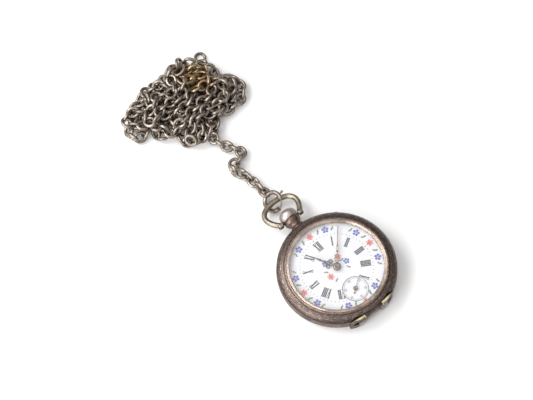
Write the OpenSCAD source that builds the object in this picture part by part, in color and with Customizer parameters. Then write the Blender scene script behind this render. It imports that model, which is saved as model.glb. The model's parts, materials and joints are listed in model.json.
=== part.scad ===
// Open-face pocket watch with pin-set Lepine movement, bow, bolt-ring clasp and long chain.
// The watch lies on its back: origin at the centre of the back's rest face,
// +Y towards 12 o'clock, +Z up through the dial. Millimetres.

/* [Case] */
// Diameter of the case
case_d = 46; // [45.6:0.1:46.6]
// Width of the part of the dial that shows
dial_open_d = 35.9; // [35:0.1:36.2]
// Thickness of the sheet silver
sheet = 0.5; // [0.4:0.05:0.6]
// Half length of the hinge line at 6 o'clock
hinge_half = 10.4; // [9.5:0.1:10.4]

/* [Bow and crown] */
// Diameter of the crown
crown_d = 7; // [6.6:0.1:7.2]
// Half width of the bow's centre line
bow_half_w = 7.3; // [7.1:0.1:7.5]
// Diameter of the bow's wire
bow_wire = 2.2; // [2:0.1:2.4]
// Droop of the resting bow, in degrees
bow_droop = 12; // [10:1:14]

/* [Movement] */
// Distance from the dial's centre to the seconds hand
seconds_r = 11.2; // [11:0.1:11.3]
// Diameter of the main plate
plate_d = 38.4; // [38:0.1:38.6]

/* [Chain] */
// Outer diameter of the bolt ring
bolt_ring_d = 8.7; // [8.4:0.1:9]
// Outer width of a chain link
link_w = 4.4; // [4.2:0.1:4.6]
// Height of the gathered chain
heap_h = 10; // [9:0.5:11]

/* [Hidden] */
$fn = 64;
case_r = case_d / 2;
open_r = dial_open_d / 2;
gap = 0.05;
slack = 0.03;

// Heights, from the rest face up
z_cover_top = 3.3;
z_band_low = 3.35;
z_band_top = 7.6;
z_bezel_low = 7.65;
z_cuvette = 1.6;
z_cock = 2.2;
z_bridge = 2.9;
z_train = 3.9;
z_plate_low = 6;
z_plate_top = 7.1;
z_dial_low = 7.95;
z_dial_top = 8.65;
z_pendant = 5.5;
z_back_hinge = 3.0;
z_bezel_hinge = 7.6;

// Hinges at 6 o'clock
chord_y = -20.4;
hinge_y = -21.6;
knuckle_r = 1.15;
hinge_pin_r = 0.3;
arm = 0.75;
hinge_trim_r = case_r + 0.15;
hinge_pin_half = 7.4;
cover_r = case_r - 0.6;

// Pendant and bow
pivot_y = 27.6;
bow_pivot_r = 0.5;
bow_len = 10.5;
top_arc_r = 12;
top_arc_half = 24;
corner_end = -12;
lower_arc_r = 8.5;
lower_end = -46;
lug_r = 1.15;
lug_x = 3.85;
bow_r = bow_wire / 2;
crown_y = 29.4;
crown_half = 2.6;
crown_r = crown_d / 2;
stem_r = 0.6;

// Bolt ring
ring_tube_r = 0.72;
ring_r = bolt_ring_d / 2 - ring_tube_r;
ring_tilt = 40;
ring_gap_from = -90;
ring_gap_to = -27;
bolt_r = 0.34;
bolt_bore_r = 0.42;
bolt_back = 40;
bolt_travel = 55;
bow_top_y = pivot_y + bow_len * cos(bow_droop);
bow_top_z = z_pendant - bow_len * sin(bow_droop);
eye_r = 0.95;
eye_wire_r = 0.3;

// Movement: [x, y] of each arbor, tooth counts and the meshes between them
seconds_at = [0, -seconds_r];
centre_teeth = 64;
third_pinion_teeth = 8;
third_teeth = 60;
fourth_pinion_teeth = 8;
fourth_teeth = 70;
escape_pinion_teeth = 7;
barrel_teeth = 80;
centre_pinion_teeth = 10;
m_barrel = 0.19;
m_centre = 0.19;
m_third = 0.18;
m_fourth = 0.13;
d_centre_third = m_centre * (centre_teeth + third_pinion_teeth) / 2;
d_third_fourth = m_third * (third_teeth + fourth_pinion_teeth) / 2;
third_along = (pow(d_centre_third, 2) - pow(d_third_fourth, 2) + pow(seconds_r, 2)) / (2 * seconds_r);
third_at = [sqrt(pow(d_centre_third, 2) - pow(third_along, 2)), -third_along];
barrel_dir = 135;
barrel_at = m_barrel * (barrel_teeth + centre_pinion_teeth) / 2 * [cos(barrel_dir), sin(barrel_dir)];
escape_dir = 155;
escape_at = seconds_at + m_fourth * (fourth_teeth + escape_pinion_teeth) / 2 * [cos(escape_dir), sin(escape_dir)];
escape_r = 3.2;
balance_dir = 140;
balance_at = escape_at + (escape_r + 0.45) * [cos(balance_dir), sin(balance_dir)];
balance_r = 5.9;
pivot_r = 0.12;
arbor_r = 0.25;
jewel_r = 0.75;

// Winding work on the back of the bridge
ratchet_teeth = 36;
crown_wheel_teeth = 28;
crown_wheel_at = [0, 11.3];
winding_pinion_teeth = 15;
winding_pinion_r = 1.95;
winding_pinion_y = 14.75;
ratchet_dir = atan2(barrel_at[1] - crown_wheel_at[1], barrel_at[0] - crown_wheel_at[0]);
ratchet_d = norm(barrel_at - crown_wheel_at);
m_ratchet = ratchet_d * 2 / (ratchet_teeth + crown_wheel_teeth);
click_at = barrel_at + 5.8 * [cos(110), sin(110)];

// Motion work under the dial
cannon_teeth = 12;
minute_teeth = 36;
minute_pinion_teeth = 10;
hour_teeth = 40;
m_cannon = 0.15;
d_minute = m_cannon * (cannon_teeth + minute_teeth) / 2;
m_hour = d_minute * 2 / (minute_pinion_teeth + hour_teeth);
minute_dir = 60;
minute_at = d_minute * [cos(minute_dir), sin(minute_dir)];
setting_teeth = 24;
post_r = 0.25;
setting_dir = 75;
setting_at = minute_at + m_cannon * (minute_teeth + setting_teeth) / 2 * [cos(setting_dir), sin(setting_dir)];

// Hands, as angles from 12 o'clock
hour_angle = -26;
minute_angle = 41;
seconds_angle = 52;
hour_len = 9.9;
minute_len = 17.1;
seconds_len = 4.8;

// Pin-set button near 1 o'clock
set_angle = 39;
set_travel = 0.6;
set_pin_r = 0.45;

// Chain: the stretch from the clasp to the heap, points set by hand
strand = [
    [0, 44.8, 2.9], [0, 46.4, 2.5], [-0.4, 49, 2.3], [-0.8, 52.4, 2.3],
    [-1.6, 55, 2.3], [-3.2, 57.2, 2.3], [-3.4, 59, 2.3], [-1.6, 60, 2.3],
    [1, 60, 2.3], [3.2, 60.8, 2.3], [4, 62.6, 2.3], [3, 64.8, 2.3],
    [1.4, 67, 2.3], [0, 69.6, 2.3], [-0.6, 72, 2.3], [-0.6, 74.6, 2.3]
];
heap_low = [
    [-9, 74.6], [3, 74.6], [6, 78.6], [12, 78], [20.5, 78.6], [23, 82], [23, 87],
    [20, 91], [18.5, 98], [12.5, 103.5], [3, 106], [-8, 106], [-14, 103.6], [-23, 103.6],
    [-27, 99], [-26, 93.5], [-18, 86.5], [-12, 83]
];
heap_centre = [-2, 92];
end_ring_r = 1.85;
end_wire_r = 0.55;

// ---------- helpers ----------

module at(p, z = 0) {
    translate([p[0], p[1], z]) children();
}

// Stands its child's Z axis along +Y, centred on the pendant
module along_stem(y = 0) {
    translate([0, y, z_pendant]) rotate([-90, 0, 0]) children();
}

module tube(r_out, r_in, h) {
    difference() {
        cylinder(r = r_out, h = h);
        translate([0, 0, -1]) cylinder(r = r_in, h = h + 2);
    }
}

function unit(v) = v / norm(v);
function heading(path, k) = unit(path[min(k + 1, len(path) - 1)] - path[max(k - 1, 0)]);

// A round bar that follows a path of points, one ring of flats at each point
module swept_tube(path, r, sides) {
    last = len(path) - 1;
    points = [for (k = [0 : last])
        let (h = heading(path, k), across = unit(cross(h, [0, 0, 1])), up = cross(across, h))
        for (s = [0 : sides - 1]) let (a = 360 * (s + 0.5) / sides)
        path[k] + r * (cos(a) * across + sin(a) * up)];
    walls = [for (k = [0 : last - 1], s = [0 : sides - 1]) let (t = (s + 1) % sides)
        [k * sides + t, (k + 1) * sides + t, (k + 1) * sides + s, k * sides + s]];
    start = [for (s = [sides - 1 : -1 : 0]) s];
    end = [for (s = [0 : sides - 1]) last * sides + s];
    polyhedron(points, concat([start], walls, [end]));
}

// Keeps what lies on the 12 o'clock side of the hinge line
module cut_at_hinge(z0, z1) {
    difference() {
        children();
        translate([-case_r, chord_y - 10, z0]) cube([case_d, 10, z1 - z0]);
    }
}

// Trims what stands outside the case's round outline
module within_outline() {
    intersection() {
        children();
        cylinder(r = hinge_trim_r, h = 12);
    }
}

// A hinge knuckle with its arm, along X from x0 to x1; side is +1 if the arm lies above the pin
module knuckle(x0, x1, z, side) {
    difference() {
        within_outline() union() {
            translate([x0, hinge_y, z]) rotate([0, 90, 0]) cylinder(r = knuckle_r, h = x1 - x0);
            translate([x0, hinge_y, side > 0 ? z + gap : z - gap - arm])
                cube([x1 - x0, chord_y - hinge_y + 0.4, arm]);
        }
        translate([x0 - 1, hinge_y, z]) rotate([0, 90, 0]) cylinder(r = hinge_pin_r + slack, h = x1 - x0 + 2);
    }
}

// A flat gear with slim teeth; phase turns one tooth to that angle
module gear(teeth, m, h, phase = 0, bore = 0) {
    pitch_r = m * teeth / 2;
    root_r = pitch_r - m * 1.1;
    tip_r = pitch_r + m * 0.75;
    difference() {
        rotate(phase) linear_extrude(h) union() {
            circle(r = root_r);
            for (k = [0 : teeth - 1])
                rotate(k * 360 / teeth) polygon([
                    [root_r * 0.96, -m * 0.66], [tip_r, -m * 0.24],
                    [tip_r, m * 0.24], [root_r * 0.96, m * 0.66]
                ]);
        }
        if (bore > 0) translate([0, 0, -1]) cylinder(r = bore, h = h + 2);
    }
}

// Where a tooth of the second gear points so that it meshes with the first across direction dir
function mesh_phase(dir, phase_a, teeth_a, teeth_b) =
    dir + 180 - (0.5 - (dir - phase_a) * teeth_a / 360) * 360 / teeth_b;

module spoke_holes(count, r_in, r_out, width, h) {
    for (k = [0 : count - 1])
        rotate(k * 360 / count) difference() {
            rotate_extrude(start = 0, angle = 360 / count)
                translate([r_in, 0]) square([r_out - r_in, h]);
            for (side = [0, 1])
                rotate(side * 360 / count) translate([0, -width / 2, -1]) cube([r_out + 1, width, h + 2]);
        }
}

phase_centre = 0;
dir_centre_third = atan2(third_at[1], third_at[0]);
dir_third_fourth = atan2(seconds_at[1] - third_at[1], seconds_at[0] - third_at[0]);
phase_third_pinion = mesh_phase(dir_centre_third, phase_centre, centre_teeth, third_pinion_teeth);
phase_fourth_pinion = mesh_phase(dir_third_fourth, 0, third_teeth, fourth_pinion_teeth);
phase_escape_pinion = mesh_phase(escape_dir, 0, fourth_teeth, escape_pinion_teeth);
phase_barrel = mesh_phase(barrel_dir, 0, centre_pinion_teeth, barrel_teeth);
phase_minute = mesh_phase(minute_dir, 0, cannon_teeth, minute_teeth);
phase_hour = mesh_phase(minute_dir + 180, 0, minute_pinion_teeth, hour_teeth);
phase_setting = mesh_phase(setting_dir, phase_minute, minute_teeth, setting_teeth);
phase_ratchet = mesh_phase(ratchet_dir, 0, crown_wheel_teeth, ratchet_teeth);

// ---------- case ----------

module back_cover() {
    shell = [
        [0, 0], [17, 0], [19.3, 0.45], [20.9, 1.25], [21.9, 2.3], [cover_r, z_cover_top],
        [cover_r - sheet, z_cover_top], [21.4, 2.5], [20.5, 1.6], [19.1, 0.95], [17, sheet], [0, sheet]
    ];
    color([0.55, 0.5, 0.47]) {
        cut_at_hinge(0.9, z_cover_top + 1) rotate_extrude() polygon(shell);
        for (side = [0, 1])
            mirror([side, 0, 0]) cover_arm(3.75, 6.9);
    }
}

// Joins the back cover's shell to its knuckle, clear of the dust cover
module cover_arm(x0, x1) {
    knuckle(x0, x1, z_back_hinge, -1);
    translate([x0, chord_y - 0.2, 1.1]) cube([x1 - x0, 0.5, z_back_hinge - 1.3]);
}

module cuvette() {
    shell = [
        [0, z_cuvette], [18.4, z_cuvette], [19.9, z_cover_top - 0.1], [20.3, z_cover_top - 0.1],
        [20.3, z_cover_top], [19.6, z_cover_top], [18.2, z_cuvette + 0.3], [0, z_cuvette + 0.3]
    ];
    color([0.62, 0.58, 0.52]) {
        cut_at_hinge(0, z_cover_top + 1) rotate_extrude() polygon(shell);
        difference() {
            translate([-3.6, hinge_y, 0]) {
                translate([0, 0, z_back_hinge]) rotate([0, 90, 0]) cylinder(r = 0.62, h = 7.2);
                translate([0, 0, z_back_hinge - 0.3]) cube([7.2, 2.2, 0.5]);
            }
            translate([-5, hinge_y, z_back_hinge]) rotate([0, 90, 0]) cylinder(r = hinge_pin_r + slack, h = 10);
        }
    }
}

module case_band() {
    ring = [
        [19.55, z_band_low], [cover_r + 0.1, z_band_low], [case_r - 0.1, z_band_low + 0.9],
        [case_r + 0.1, 5.4], [case_r, z_band_top - 0.5], [case_r - 0.1, z_band_top], [19.55, z_band_top]
    ];
    color([0.45, 0.4, 0.38]) difference() {
        union() {
            cut_at_hinge(z_band_low - 1, z_band_top + 1) rotate_extrude() polygon(ring);
            within_outline()
                translate([-hinge_half, chord_y - 0.75, z_band_low + 1]) cube([2 * hinge_half, 0.8, 1.95]);
            for (side = [0, 1])
                mirror([side, 0, 0]) {
                    knuckle(4, hinge_half, z_bezel_hinge, -1);
                    knuckle(7, hinge_half, z_back_hinge, 1);
                }
            rotate(-set_angle) for (side = [-1, 1])
                translate([side * 1.4 - 0.3, case_r - 0.6, 4.5]) cube([0.6, 1.3, 1.8]);
        }
        translate([-case_r, chord_y - gap, 0]) cube([case_d, case_d, z_band_low]);
        along_stem(15) cylinder(r = stem_r + slack, h = 20);
        rotate(-set_angle) translate([0, 15, 5.4]) rotate([-90, 0, 0]) cylinder(r = set_pin_r + slack, h = 12);
    }
}

module bezel() {
    ring = [
        [19.25, z_bezel_low], [case_r - 0.15, z_bezel_low], [case_r, 8.4], [22.3, 9.5], [20.7, 10.4],
        [19.1, 10.9], [open_r, 10.75], [open_r, 10.35], [18.5, 10.35], [18.5, 9.9], [open_r, 9.9],
        [open_r, 9.5], [19.25, 9.1]
    ];
    color([0.42, 0.36, 0.34]) {
        cut_at_hinge(z_bezel_low - 1, 9.6) rotate_extrude() polygon(ring);
        knuckle(-3.95, 3.95, z_bezel_hinge, 1);
        rotate(-77) translate([-1.2, case_r - 0.5, z_bezel_low + 0.1]) cube([2.4, 0.9, 0.6]);
    }
}

module crystal() {
    dome_z = 12.3;
    rim_z = 10.3;
    rise = 1.9;
    rim_r = open_r - 0.05;
    dome_r = (rim_r * rim_r + rise * rise) / (2 * rise);
    outer = [for (k = [0 : 12]) let (x = rim_r * k / 12) [x, dome_z - dome_r + sqrt(dome_r * dome_r - x * x)]];
    inner = [for (k = [12 : -1 : 0]) let (x = (rim_r - 0.35) * k / 12)
        [x, dome_z - 0.75 - dome_r + sqrt(dome_r * dome_r - x * x)]];
    color([0.85, 0.92, 0.95, 0.35])
        rotate_extrude() polygon(concat(outer, [[rim_r, rim_z], [18.45, rim_z], [18.45, 9.95], [rim_r - 0.3, 9.95]], inner));
}

module hinge_pins() {
    color([0.75, 0.65, 0.42]) for (z = [z_back_hinge, z_bezel_hinge])
        translate([-hinge_pin_half, hinge_y, z]) rotate([0, 90, 0]) cylinder(r = hinge_pin_r, h = 2 * hinge_pin_half);
}

module pendant() {
    neck = [
        [1.1, 22.6], [3.6, 22.6], [3, 23.3], [2.35, 24.2], [2.45, 25], [3.3, 25.5], [3.75, 26.2], [3.75, 28.2],
        [3.5, 28.2], [3.28, 27.7], [2.85, 27], [2.1, 26.5], [1.1, 26.5]
    ];
    color([0.6, 0.42, 0.34]) difference() {
        along_stem() rotate_extrude() polygon(neck);
        translate([0, 0, z_band_low - 20]) cylinder(r = case_r + 0.15, h = 40);
        translate([-6, pivot_y, z_pendant]) rotate([0, 90, 0]) cylinder(r = bow_pivot_r + slack, h = 12);
    }
}

module crown() {
    steps = 10;
    dome = [for (k = [-steps : steps]) let (a = 90 * k / steps * 0.94)
        [crown_r * pow(cos(a), 0.8), crown_y + crown_half * sin(a)]];
    color([0.72, 0.7, 0.7]) difference() {
        along_stem() rotate_extrude() polygon(concat([[0, crown_y - crown_half]], dome, [[0, crown_y + crown_half]]));
        along_stem(20) cylinder(r = stem_r, h = crown_y + 1 - 20);
    }
}

module winding_stem() {
    color([0.6, 0.6, 0.62]) along_stem(12.9) cylinder(r = stem_r - 0.02, h = crown_y + 0.9 - 12.9);
}

module winding_pinion() {
    color([0.6, 0.6, 0.62]) along_stem(winding_pinion_y - 0.7)
        gear(winding_pinion_teeth, 2 * winding_pinion_r / winding_pinion_teeth, 1.4, phase = 90, bore = stem_r);
}

module set_button() {
    color([0.5, 0.46, 0.42]) rotate(-set_angle) translate([0, 0, 5.4]) rotate([-90, 0, 0]) {
        translate([0, 0, 18.2]) cylinder(r = set_pin_r, h = 5.7);
        translate([0, 0, case_r + 0.2 + set_travel]) cylinder(r1 = 0.8, r2 = 0.6, h = 0.4);
    }
}

module setting_lever() {
    color([0.6, 0.6, 0.62]) rotate(-set_angle) translate([0, 17.6, z_plate_low - 1]) difference() {
        union() {
            cylinder(r = 0.55, h = 0.5);
            translate([-3.4, -0.4, 0]) cube([3.4, 0.8, 0.5]);
            translate([-3.4, 0, 0]) cylinder(r = 0.7, h = 0.5);
        }
        translate([-3.4, 0, -1]) cylinder(r = 0.33, h = 3);
    }
}

module setting_wheel() {
    color([0.75, 0.65, 0.4]) at(setting_at, z_plate_top + 0.1)
        gear(setting_teeth, m_cannon, 0.2, phase = phase_setting, bore = post_r + slack);
}

// ---------- bow ----------

function arc(c, r, a0, a1, n) = [for (k = [0 : n]) let (a = a0 + (a1 - a0) * k / n) c + r * [cos(a), sin(a)]];
function drop_last(v) = [for (k = [0 : len(v) - 2]) v[k]];

// Centre line of one half of the bow, from its lug to the middle of the top:
// a long arc, a tight corner and a flat top arc
bow_top_c = [0, bow_len - top_arc_r];
bow_join = bow_top_c + top_arc_r * [sin(top_arc_half), cos(top_arc_half)];
corner_r = (bow_half_w - bow_join[0]) / (1 - sin(top_arc_half));
corner_c = bow_join - corner_r * [sin(top_arc_half), cos(top_arc_half)];
lower_c = corner_c - (lower_arc_r - corner_r) * [cos(corner_end), sin(corner_end)];
bow_tip = lower_c + lower_arc_r * [cos(lower_end), sin(lower_end)];
bow_half = concat(
    drop_last(arc(lower_c, lower_arc_r, lower_end, corner_end, 5)),
    drop_last(arc(corner_c, corner_r, corner_end, 90 - top_arc_half, 8)),
    arc(bow_top_c, top_arc_r, 90 - top_arc_half, 90, 3)
);
bow_path = concat(
    [for (p = bow_half) [p[0], p[1], 0]],
    [for (k = [len(bow_half) - 2 : -1 : 0]) [-bow_half[k][0], bow_half[k][1], 0]]
);

module in_bow() {
    translate([0, pivot_y, z_pendant]) rotate([-bow_droop, 0, 0]) children();
}

module bow() {
    color([0.6, 0.56, 0.45]) in_bow() difference() {
        union() {
            swept_tube(bow_path, bow_r, 16);
            for (side = [0, 1])
                mirror([side, 0, 0]) translate([lug_x, 0, 0]) rotate([0, 90, 0])
                    cylinder(r = lug_r, h = bow_tip[0] + 0.95 - lug_x);
        }
        translate([-9, 0, 0]) rotate([0, 90, 0]) cylinder(r = bow_pivot_r + slack, h = 18);
    }
}

module bow_screws() {
    color([0.2, 0.18, 0.17]) in_bow() for (side = [0, 1])
        mirror([side, 0, 0]) difference() {
            translate([3.1, 0, 0]) rotate([0, 90, 0]) cylinder(r = bow_pivot_r, h = 2.75);
            translate([5.7, -1, -0.08]) cube([1, 2, 0.16]);
        }
}

// ---------- dial ----------

module dial() {
    color([0.96, 0.96, 0.95]) difference() {
        translate([0, 0, z_dial_low]) cylinder(r = 18.9, h = z_dial_top - z_dial_low);
        cylinder(r = 1.05, h = 20);
        at(seconds_at) cylinder(r = 0.4, h = 20);
        at(seconds_at, z_dial_top - 0.1) cylinder(r = 4.9, h = 1);
    }
}

module dial_feet() {
    color([0.72, 0.45, 0.3]) for (a = [10, 130, 250])
        rotate(a) translate([17.3, 0, z_plate_low + 0.1]) cylinder(r = 0.4, h = z_dial_low - z_plate_low - 0.1);
}

// ---------- movement frame ----------

// Every hole of the main plate: arbors, screws and dial feet
module plate_holes() {
    cylinder(r = 0.62, h = 20);
    for (p = [seconds_at, third_at, escape_at, balance_at])
        at(p) cylinder(r = jewel_r, h = 20);
    at(barrel_at) cylinder(r = 0.7, h = 20);
    for (a = [10, 130, 250]) rotate(a) translate([17.3, 0, 0]) cylinder(r = 0.43, h = 20);
    for (p = concat(bridge_screws, [cock_screw])) at(p) cylinder(r = 0.45, h = 20);
}

bridge_screws = [[-15.2, 8.6], [5.5, 15.8], [12.6, -7.6], [7, -15.6], [-14.8, 0.2]];
cock_screw = [-15.2, -7.1];
escape_screw = [-6.6, -15.8];

module main_plate() {
    color([0.78, 0.7, 0.48]) difference() {
        union() {
            translate([0, 0, z_plate_low]) cylinder(d = plate_d, h = z_plate_top - z_plate_low);
            for (p = [minute_at, setting_at]) at(p, z_plate_top - 0.1) cylinder(r = post_r, h = 0.85);
        }
        plate_holes();
        translate([-winding_pinion_r - 0.5, winding_pinion_y - 2.2, 0])
            cube([2 * winding_pinion_r + 1, 3.6, 20]);
        along_stem(12) cylinder(r = stem_r + 0.15, h = 12);
    }
}

// Outline shared by both bridges: the plate without the balance's and the stem's room
module bridge_blank(z, h) {
    difference() {
        translate([0, 0, z]) cylinder(r = plate_d / 2 - 0.3, h = h);
        at(balance_at) cylinder(r = balance_r + 0.5, h = 20);
        at(balance_at + [-4, -4]) cylinder(r = balance_r + 0.5, h = 20);
        at(cock_screw) cylinder(r = 1.9, h = 20);
    }
}

module barrel_bridge() {
    color([0.74, 0.67, 0.46]) difference() {
        union() {
            intersection() {
                bridge_blank(z_bridge, z_train - z_bridge);
                translate([-30, 3.2, 0]) cube([60, 30, 20]);
            }
            for (p = [bridge_screws[0], bridge_screws[1]]) at(p, z_train - 0.1) cylinder(r = 1, h = z_plate_low - z_train + 0.1);
        }
        at(barrel_at) cylinder(r = 0.72, h = 20);
        at(barrel_at, 0) cylinder(r = 4.9, h = z_bridge + 0.45);
        at(crown_wheel_at, 0) cylinder(r = 4.1, h = z_bridge + 0.4);
        at(crown_wheel_at, 0) tube(3.7, 2.85, z_bridge + 0.7);
        at(crown_wheel_at, 0) cylinder(r = 0.5, h = 20);
        translate([-2, winding_pinion_y - 1, 0]) cube([4, 2, 20]);
        at(click_at, 0) cylinder(r = 2.6, h = z_bridge + 0.45);
        at(click_at, 0) cylinder(r = 0.33, h = 20);
        for (p = [bridge_screws[0], bridge_screws[1]]) at(p, 0) cylinder(r = 0.45, h = 20);
    }
}

module train_bridge() {
    color([0.74, 0.67, 0.46]) difference() {
        union() {
            intersection() {
                bridge_blank(z_bridge, z_train - z_bridge);
                translate([-30, -30, 0]) cube([60, 33.1, 20]);
            }
            for (k = [2 : 4]) at(bridge_screws[k], z_train - 0.1) cylinder(r = 1, h = z_plate_low - z_train + 0.1);
        }
        for (p = [[0, 0], seconds_at, third_at]) at(p) cylinder(r = jewel_r, h = 20);
        for (k = [2 : 4]) at(bridge_screws[k]) cylinder(r = 0.45, h = 20);
        at(seconds_at, 0) translate([-22.2, -10, 0]) cube([20, 12, 20]);
        at(barrel_at, 0) cylinder(r = 4.9, h = z_bridge + 0.45);
    }
}

// Carries the escape wheel's back pivot, beneath the balance
module escape_cock() {
    foot = escape_screw;
    color([0.74, 0.67, 0.46]) difference() {
        union() {
            hull() {
                at(escape_at, z_train + 0.02) cylinder(r = 1.1, h = 0.3, $fn = 32);
                at(foot, z_train + 0.02) cylinder(r = 1.2, h = 0.3, $fn = 32);
            }
            at(foot, z_train + 0.02) cylinder(r = 1.1, h = z_plate_low - z_train - 0.02);
        }
        at(escape_at, 0) cylinder(r = pivot_r + 0.03, h = 20);
        at(foot, 0) cylinder(r = 0.4, h = 20);
    }
}

module balance_cock() {
    foot = cock_screw;
    color([0.78, 0.7, 0.48]) difference() {
        union() {
            hull() {
                at(balance_at, z_cock) cylinder(r = 1.9, h = 0.55, $fn = 32);
                at(foot, z_cock) cylinder(r = 1.5, h = 0.55, $fn = 32);
            }
            at(foot, z_cock) cylinder(r = 1.4, h = z_plate_low - z_cock);
        }
        at(balance_at, 0) cylinder(r = jewel_r, h = 20);
        at(foot, 0) cylinder(r = 0.45, h = 20);
    }
}

// One screw with a slotted head whose underside sits at z_head
module screw(z_head, length, r = 0.42) {
    difference() {
        union() {
            translate([0, 0, z_head]) cylinder(r = r, h = length);
            translate([0, 0, z_head - 0.25]) cylinder(r = r * 1.9, h = 0.25);
        }
        translate([-2, -0.08, z_head - 0.25]) cube([4, 0.16, 0.1]);
    }
}

module plate_screws() {
    color([0.25, 0.3, 0.45]) {
        for (p = bridge_screws) at(p) screw(z_bridge, z_plate_low + 0.6 - z_bridge);
        at(cock_screw) screw(z_cock, z_plate_low + 0.6 - z_cock);
        at(escape_screw) screw(z_train, z_plate_low - z_train - 0.02, 0.38);
    }
}

module jewel(h) {
    tube(jewel_r, pivot_r + 0.03, h);
}

module jewels() {
    color([0.75, 0.12, 0.25]) {
        for (p = [seconds_at, third_at]) at(p, z_bridge) jewel(z_train - z_bridge);
        for (p = [third_at, escape_at, balance_at]) at(p, z_plate_low) jewel(0.8);
        at(balance_at, z_cock) jewel(0.55);
        at(seconds_at, z_plate_low) tube(jewel_r, 0.2 + slack, 0.8);
        at([0, 0], z_bridge) tube(jewel_r, arbor_r + slack, z_train - z_bridge);
    }
}

// ---------- barrel and winding ----------

module barrel() {
    color([0.78, 0.68, 0.42]) at(barrel_at) difference() {
        union() {
            translate([0, 0, 4.1]) gear(barrel_teeth, m_barrel, 0.45, phase = phase_barrel);
            translate([0, 0, 4.1]) cylinder(r = 7, h = 1.25);
        }
        translate([0, 0, 4.35]) cylinder(r = 6.6, h = 2);
        cylinder(r = 0.6 + slack, h = 20);
    }
}

module barrel_cover() {
    color([0.78, 0.68, 0.42]) at(barrel_at, 5.15) tube(6.58, 0.6 + slack, 0.2);
}

module barrel_arbor() {
    color([0.6, 0.6, 0.62]) at(barrel_at) {
        translate([0, 0, z_bridge - 0.25]) cylinder(r = 0.6, h = z_plate_low + 0.9 - z_bridge + 0.25);
        translate([0, 0, 4.4]) cylinder(r = 1.5, h = 0.7);
    }
}

// Spiral ribbon between the arbor and the barrel wall, worked out turn by turn
module mainspring() {
    turns = 9;
    steps = 24;
    n = turns * steps;
    inner = [for (k = [0 : n]) let (a = 360 * k / steps, r = 1.56 + 4.86 * k / n) r * [cos(a), sin(a)]];
    outer = [for (k = [n : -1 : 0]) let (a = 360 * k / steps, r = 1.7 + 4.86 * k / n) r * [cos(a), sin(a)]];
    color([0.35, 0.4, 0.5]) at(barrel_at, 4.42) linear_extrude(0.64) polygon(concat(inner, outer));
}

module ratchet_wheel() {
    color([0.66, 0.66, 0.68]) at(barrel_at, z_bridge - 0.02)
        gear(ratchet_teeth, m_ratchet, 0.35, phase = phase_ratchet, bore = 0.6);
}

module crown_wheel() {
    color([0.66, 0.66, 0.68]) at(crown_wheel_at, z_bridge - 0.02) difference() {
        union() {
            gear(crown_wheel_teeth, m_ratchet, 0.35);
            translate([0, 0, 0.3]) contrate_teeth();
        }
        translate([0, 0, -1]) cylinder(r = 0.5 + slack, h = 5);
    }
}

// Face teeth that the winding pinion drives
module contrate_teeth() {
    for (k = [0 : crown_wheel_teeth - 1])
        rotate((k + 0.5) * 360 / crown_wheel_teeth + 90) translate([3.0, -0.1, 0]) cube([0.55, 0.2, 0.3]);
}

module wheel_screws() {
    color([0.25, 0.3, 0.45]) {
        at(crown_wheel_at) {
            translate([0, 0, z_bridge - 0.1]) cylinder(r = 0.48, h = 1);
            translate([0, 0, z_bridge - 0.4]) cylinder(r = 1.2, h = 0.3);
        }
        at(click_at) {
            translate([0, 0, z_bridge - 0.1]) cylinder(r = 0.3, h = 1);
            translate([0, 0, z_bridge - 0.4]) cylinder(r = 0.6, h = 0.3);
        }
    }
}

// Direction from the click's pivot to the ratchet wheel's centre
click_dir = atan2(barrel_at[1] - click_at[1], barrel_at[0] - click_at[0]);
click_d = norm(barrel_at - click_at);

module click() {
    color([0.6, 0.6, 0.62]) at(click_at, z_bridge + 0.02) rotate(click_dir) difference() {
        union() {
            cylinder(r = 0.8, h = 0.3);
            linear_extrude(0.3) polygon([[0, 0.75], [1.05, -0.7], [1.35, -1.6], [0, -0.75]]);
        }
        translate([0, 0, -1]) cylinder(r = 0.3 + slack, h = 3);
    }
}

module click_spring() {
    color([0.5, 0.5, 0.54]) at(click_at, z_bridge + 0.02)
        rotate_extrude(start = click_dir + 120, angle = 150) translate([1.7, 0]) square([0.18, 0.25]);
}

// ---------- going train ----------

module wheel_with_pinion(teeth, m, z, h, pinion, pinion_m, pinion_z, pinion_h, phase, pinion_phase) {
    r = teeth * m / 2;
    difference() {
        translate([0, 0, z]) gear(teeth, m, h, phase = phase);
        translate([0, 0, z - 0.5]) spoke_holes(4, r * 0.3, r * 0.8, r * 0.12, h + 1);
    }
    translate([0, 0, pinion_z]) gear(pinion, pinion_m, pinion_h, phase = pinion_phase);
}

module centre_wheel() {
    color([0.8, 0.7, 0.42]) {
        wheel_with_pinion(centre_teeth, m_centre, 5.6, 0.2, centre_pinion_teeth, m_barrel, 4.05, 1.6, phase_centre, 0);
        translate([0, 0, z_bridge]) cylinder(r = arbor_r, h = 6.4);
    }
}

module third_wheel() {
    color([0.8, 0.7, 0.42]) at(third_at) {
        wheel_with_pinion(third_teeth, m_third, 4.15, 0.2, third_pinion_teeth, m_centre, 4.3, 1.6, 0, phase_third_pinion);
        translate([0, 0, z_bridge + 0.1]) cylinder(r = pivot_r, h = 3.6);
        translate([0, 0, 3.95]) cylinder(r = arbor_r, h = 2);
    }
}

module fourth_wheel() {
    color([0.8, 0.7, 0.42]) at(seconds_at) {
        wheel_with_pinion(fourth_teeth, m_fourth, 4.9, 0.2, fourth_pinion_teeth, m_third, 4.05, 0.9, 0, phase_fourth_pinion);
        translate([0, 0, z_bridge + 0.1]) cylinder(r = pivot_r, h = 1);
        translate([0, 0, 3.95]) cylinder(r = 0.2, h = 5.05);
    }
}

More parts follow.
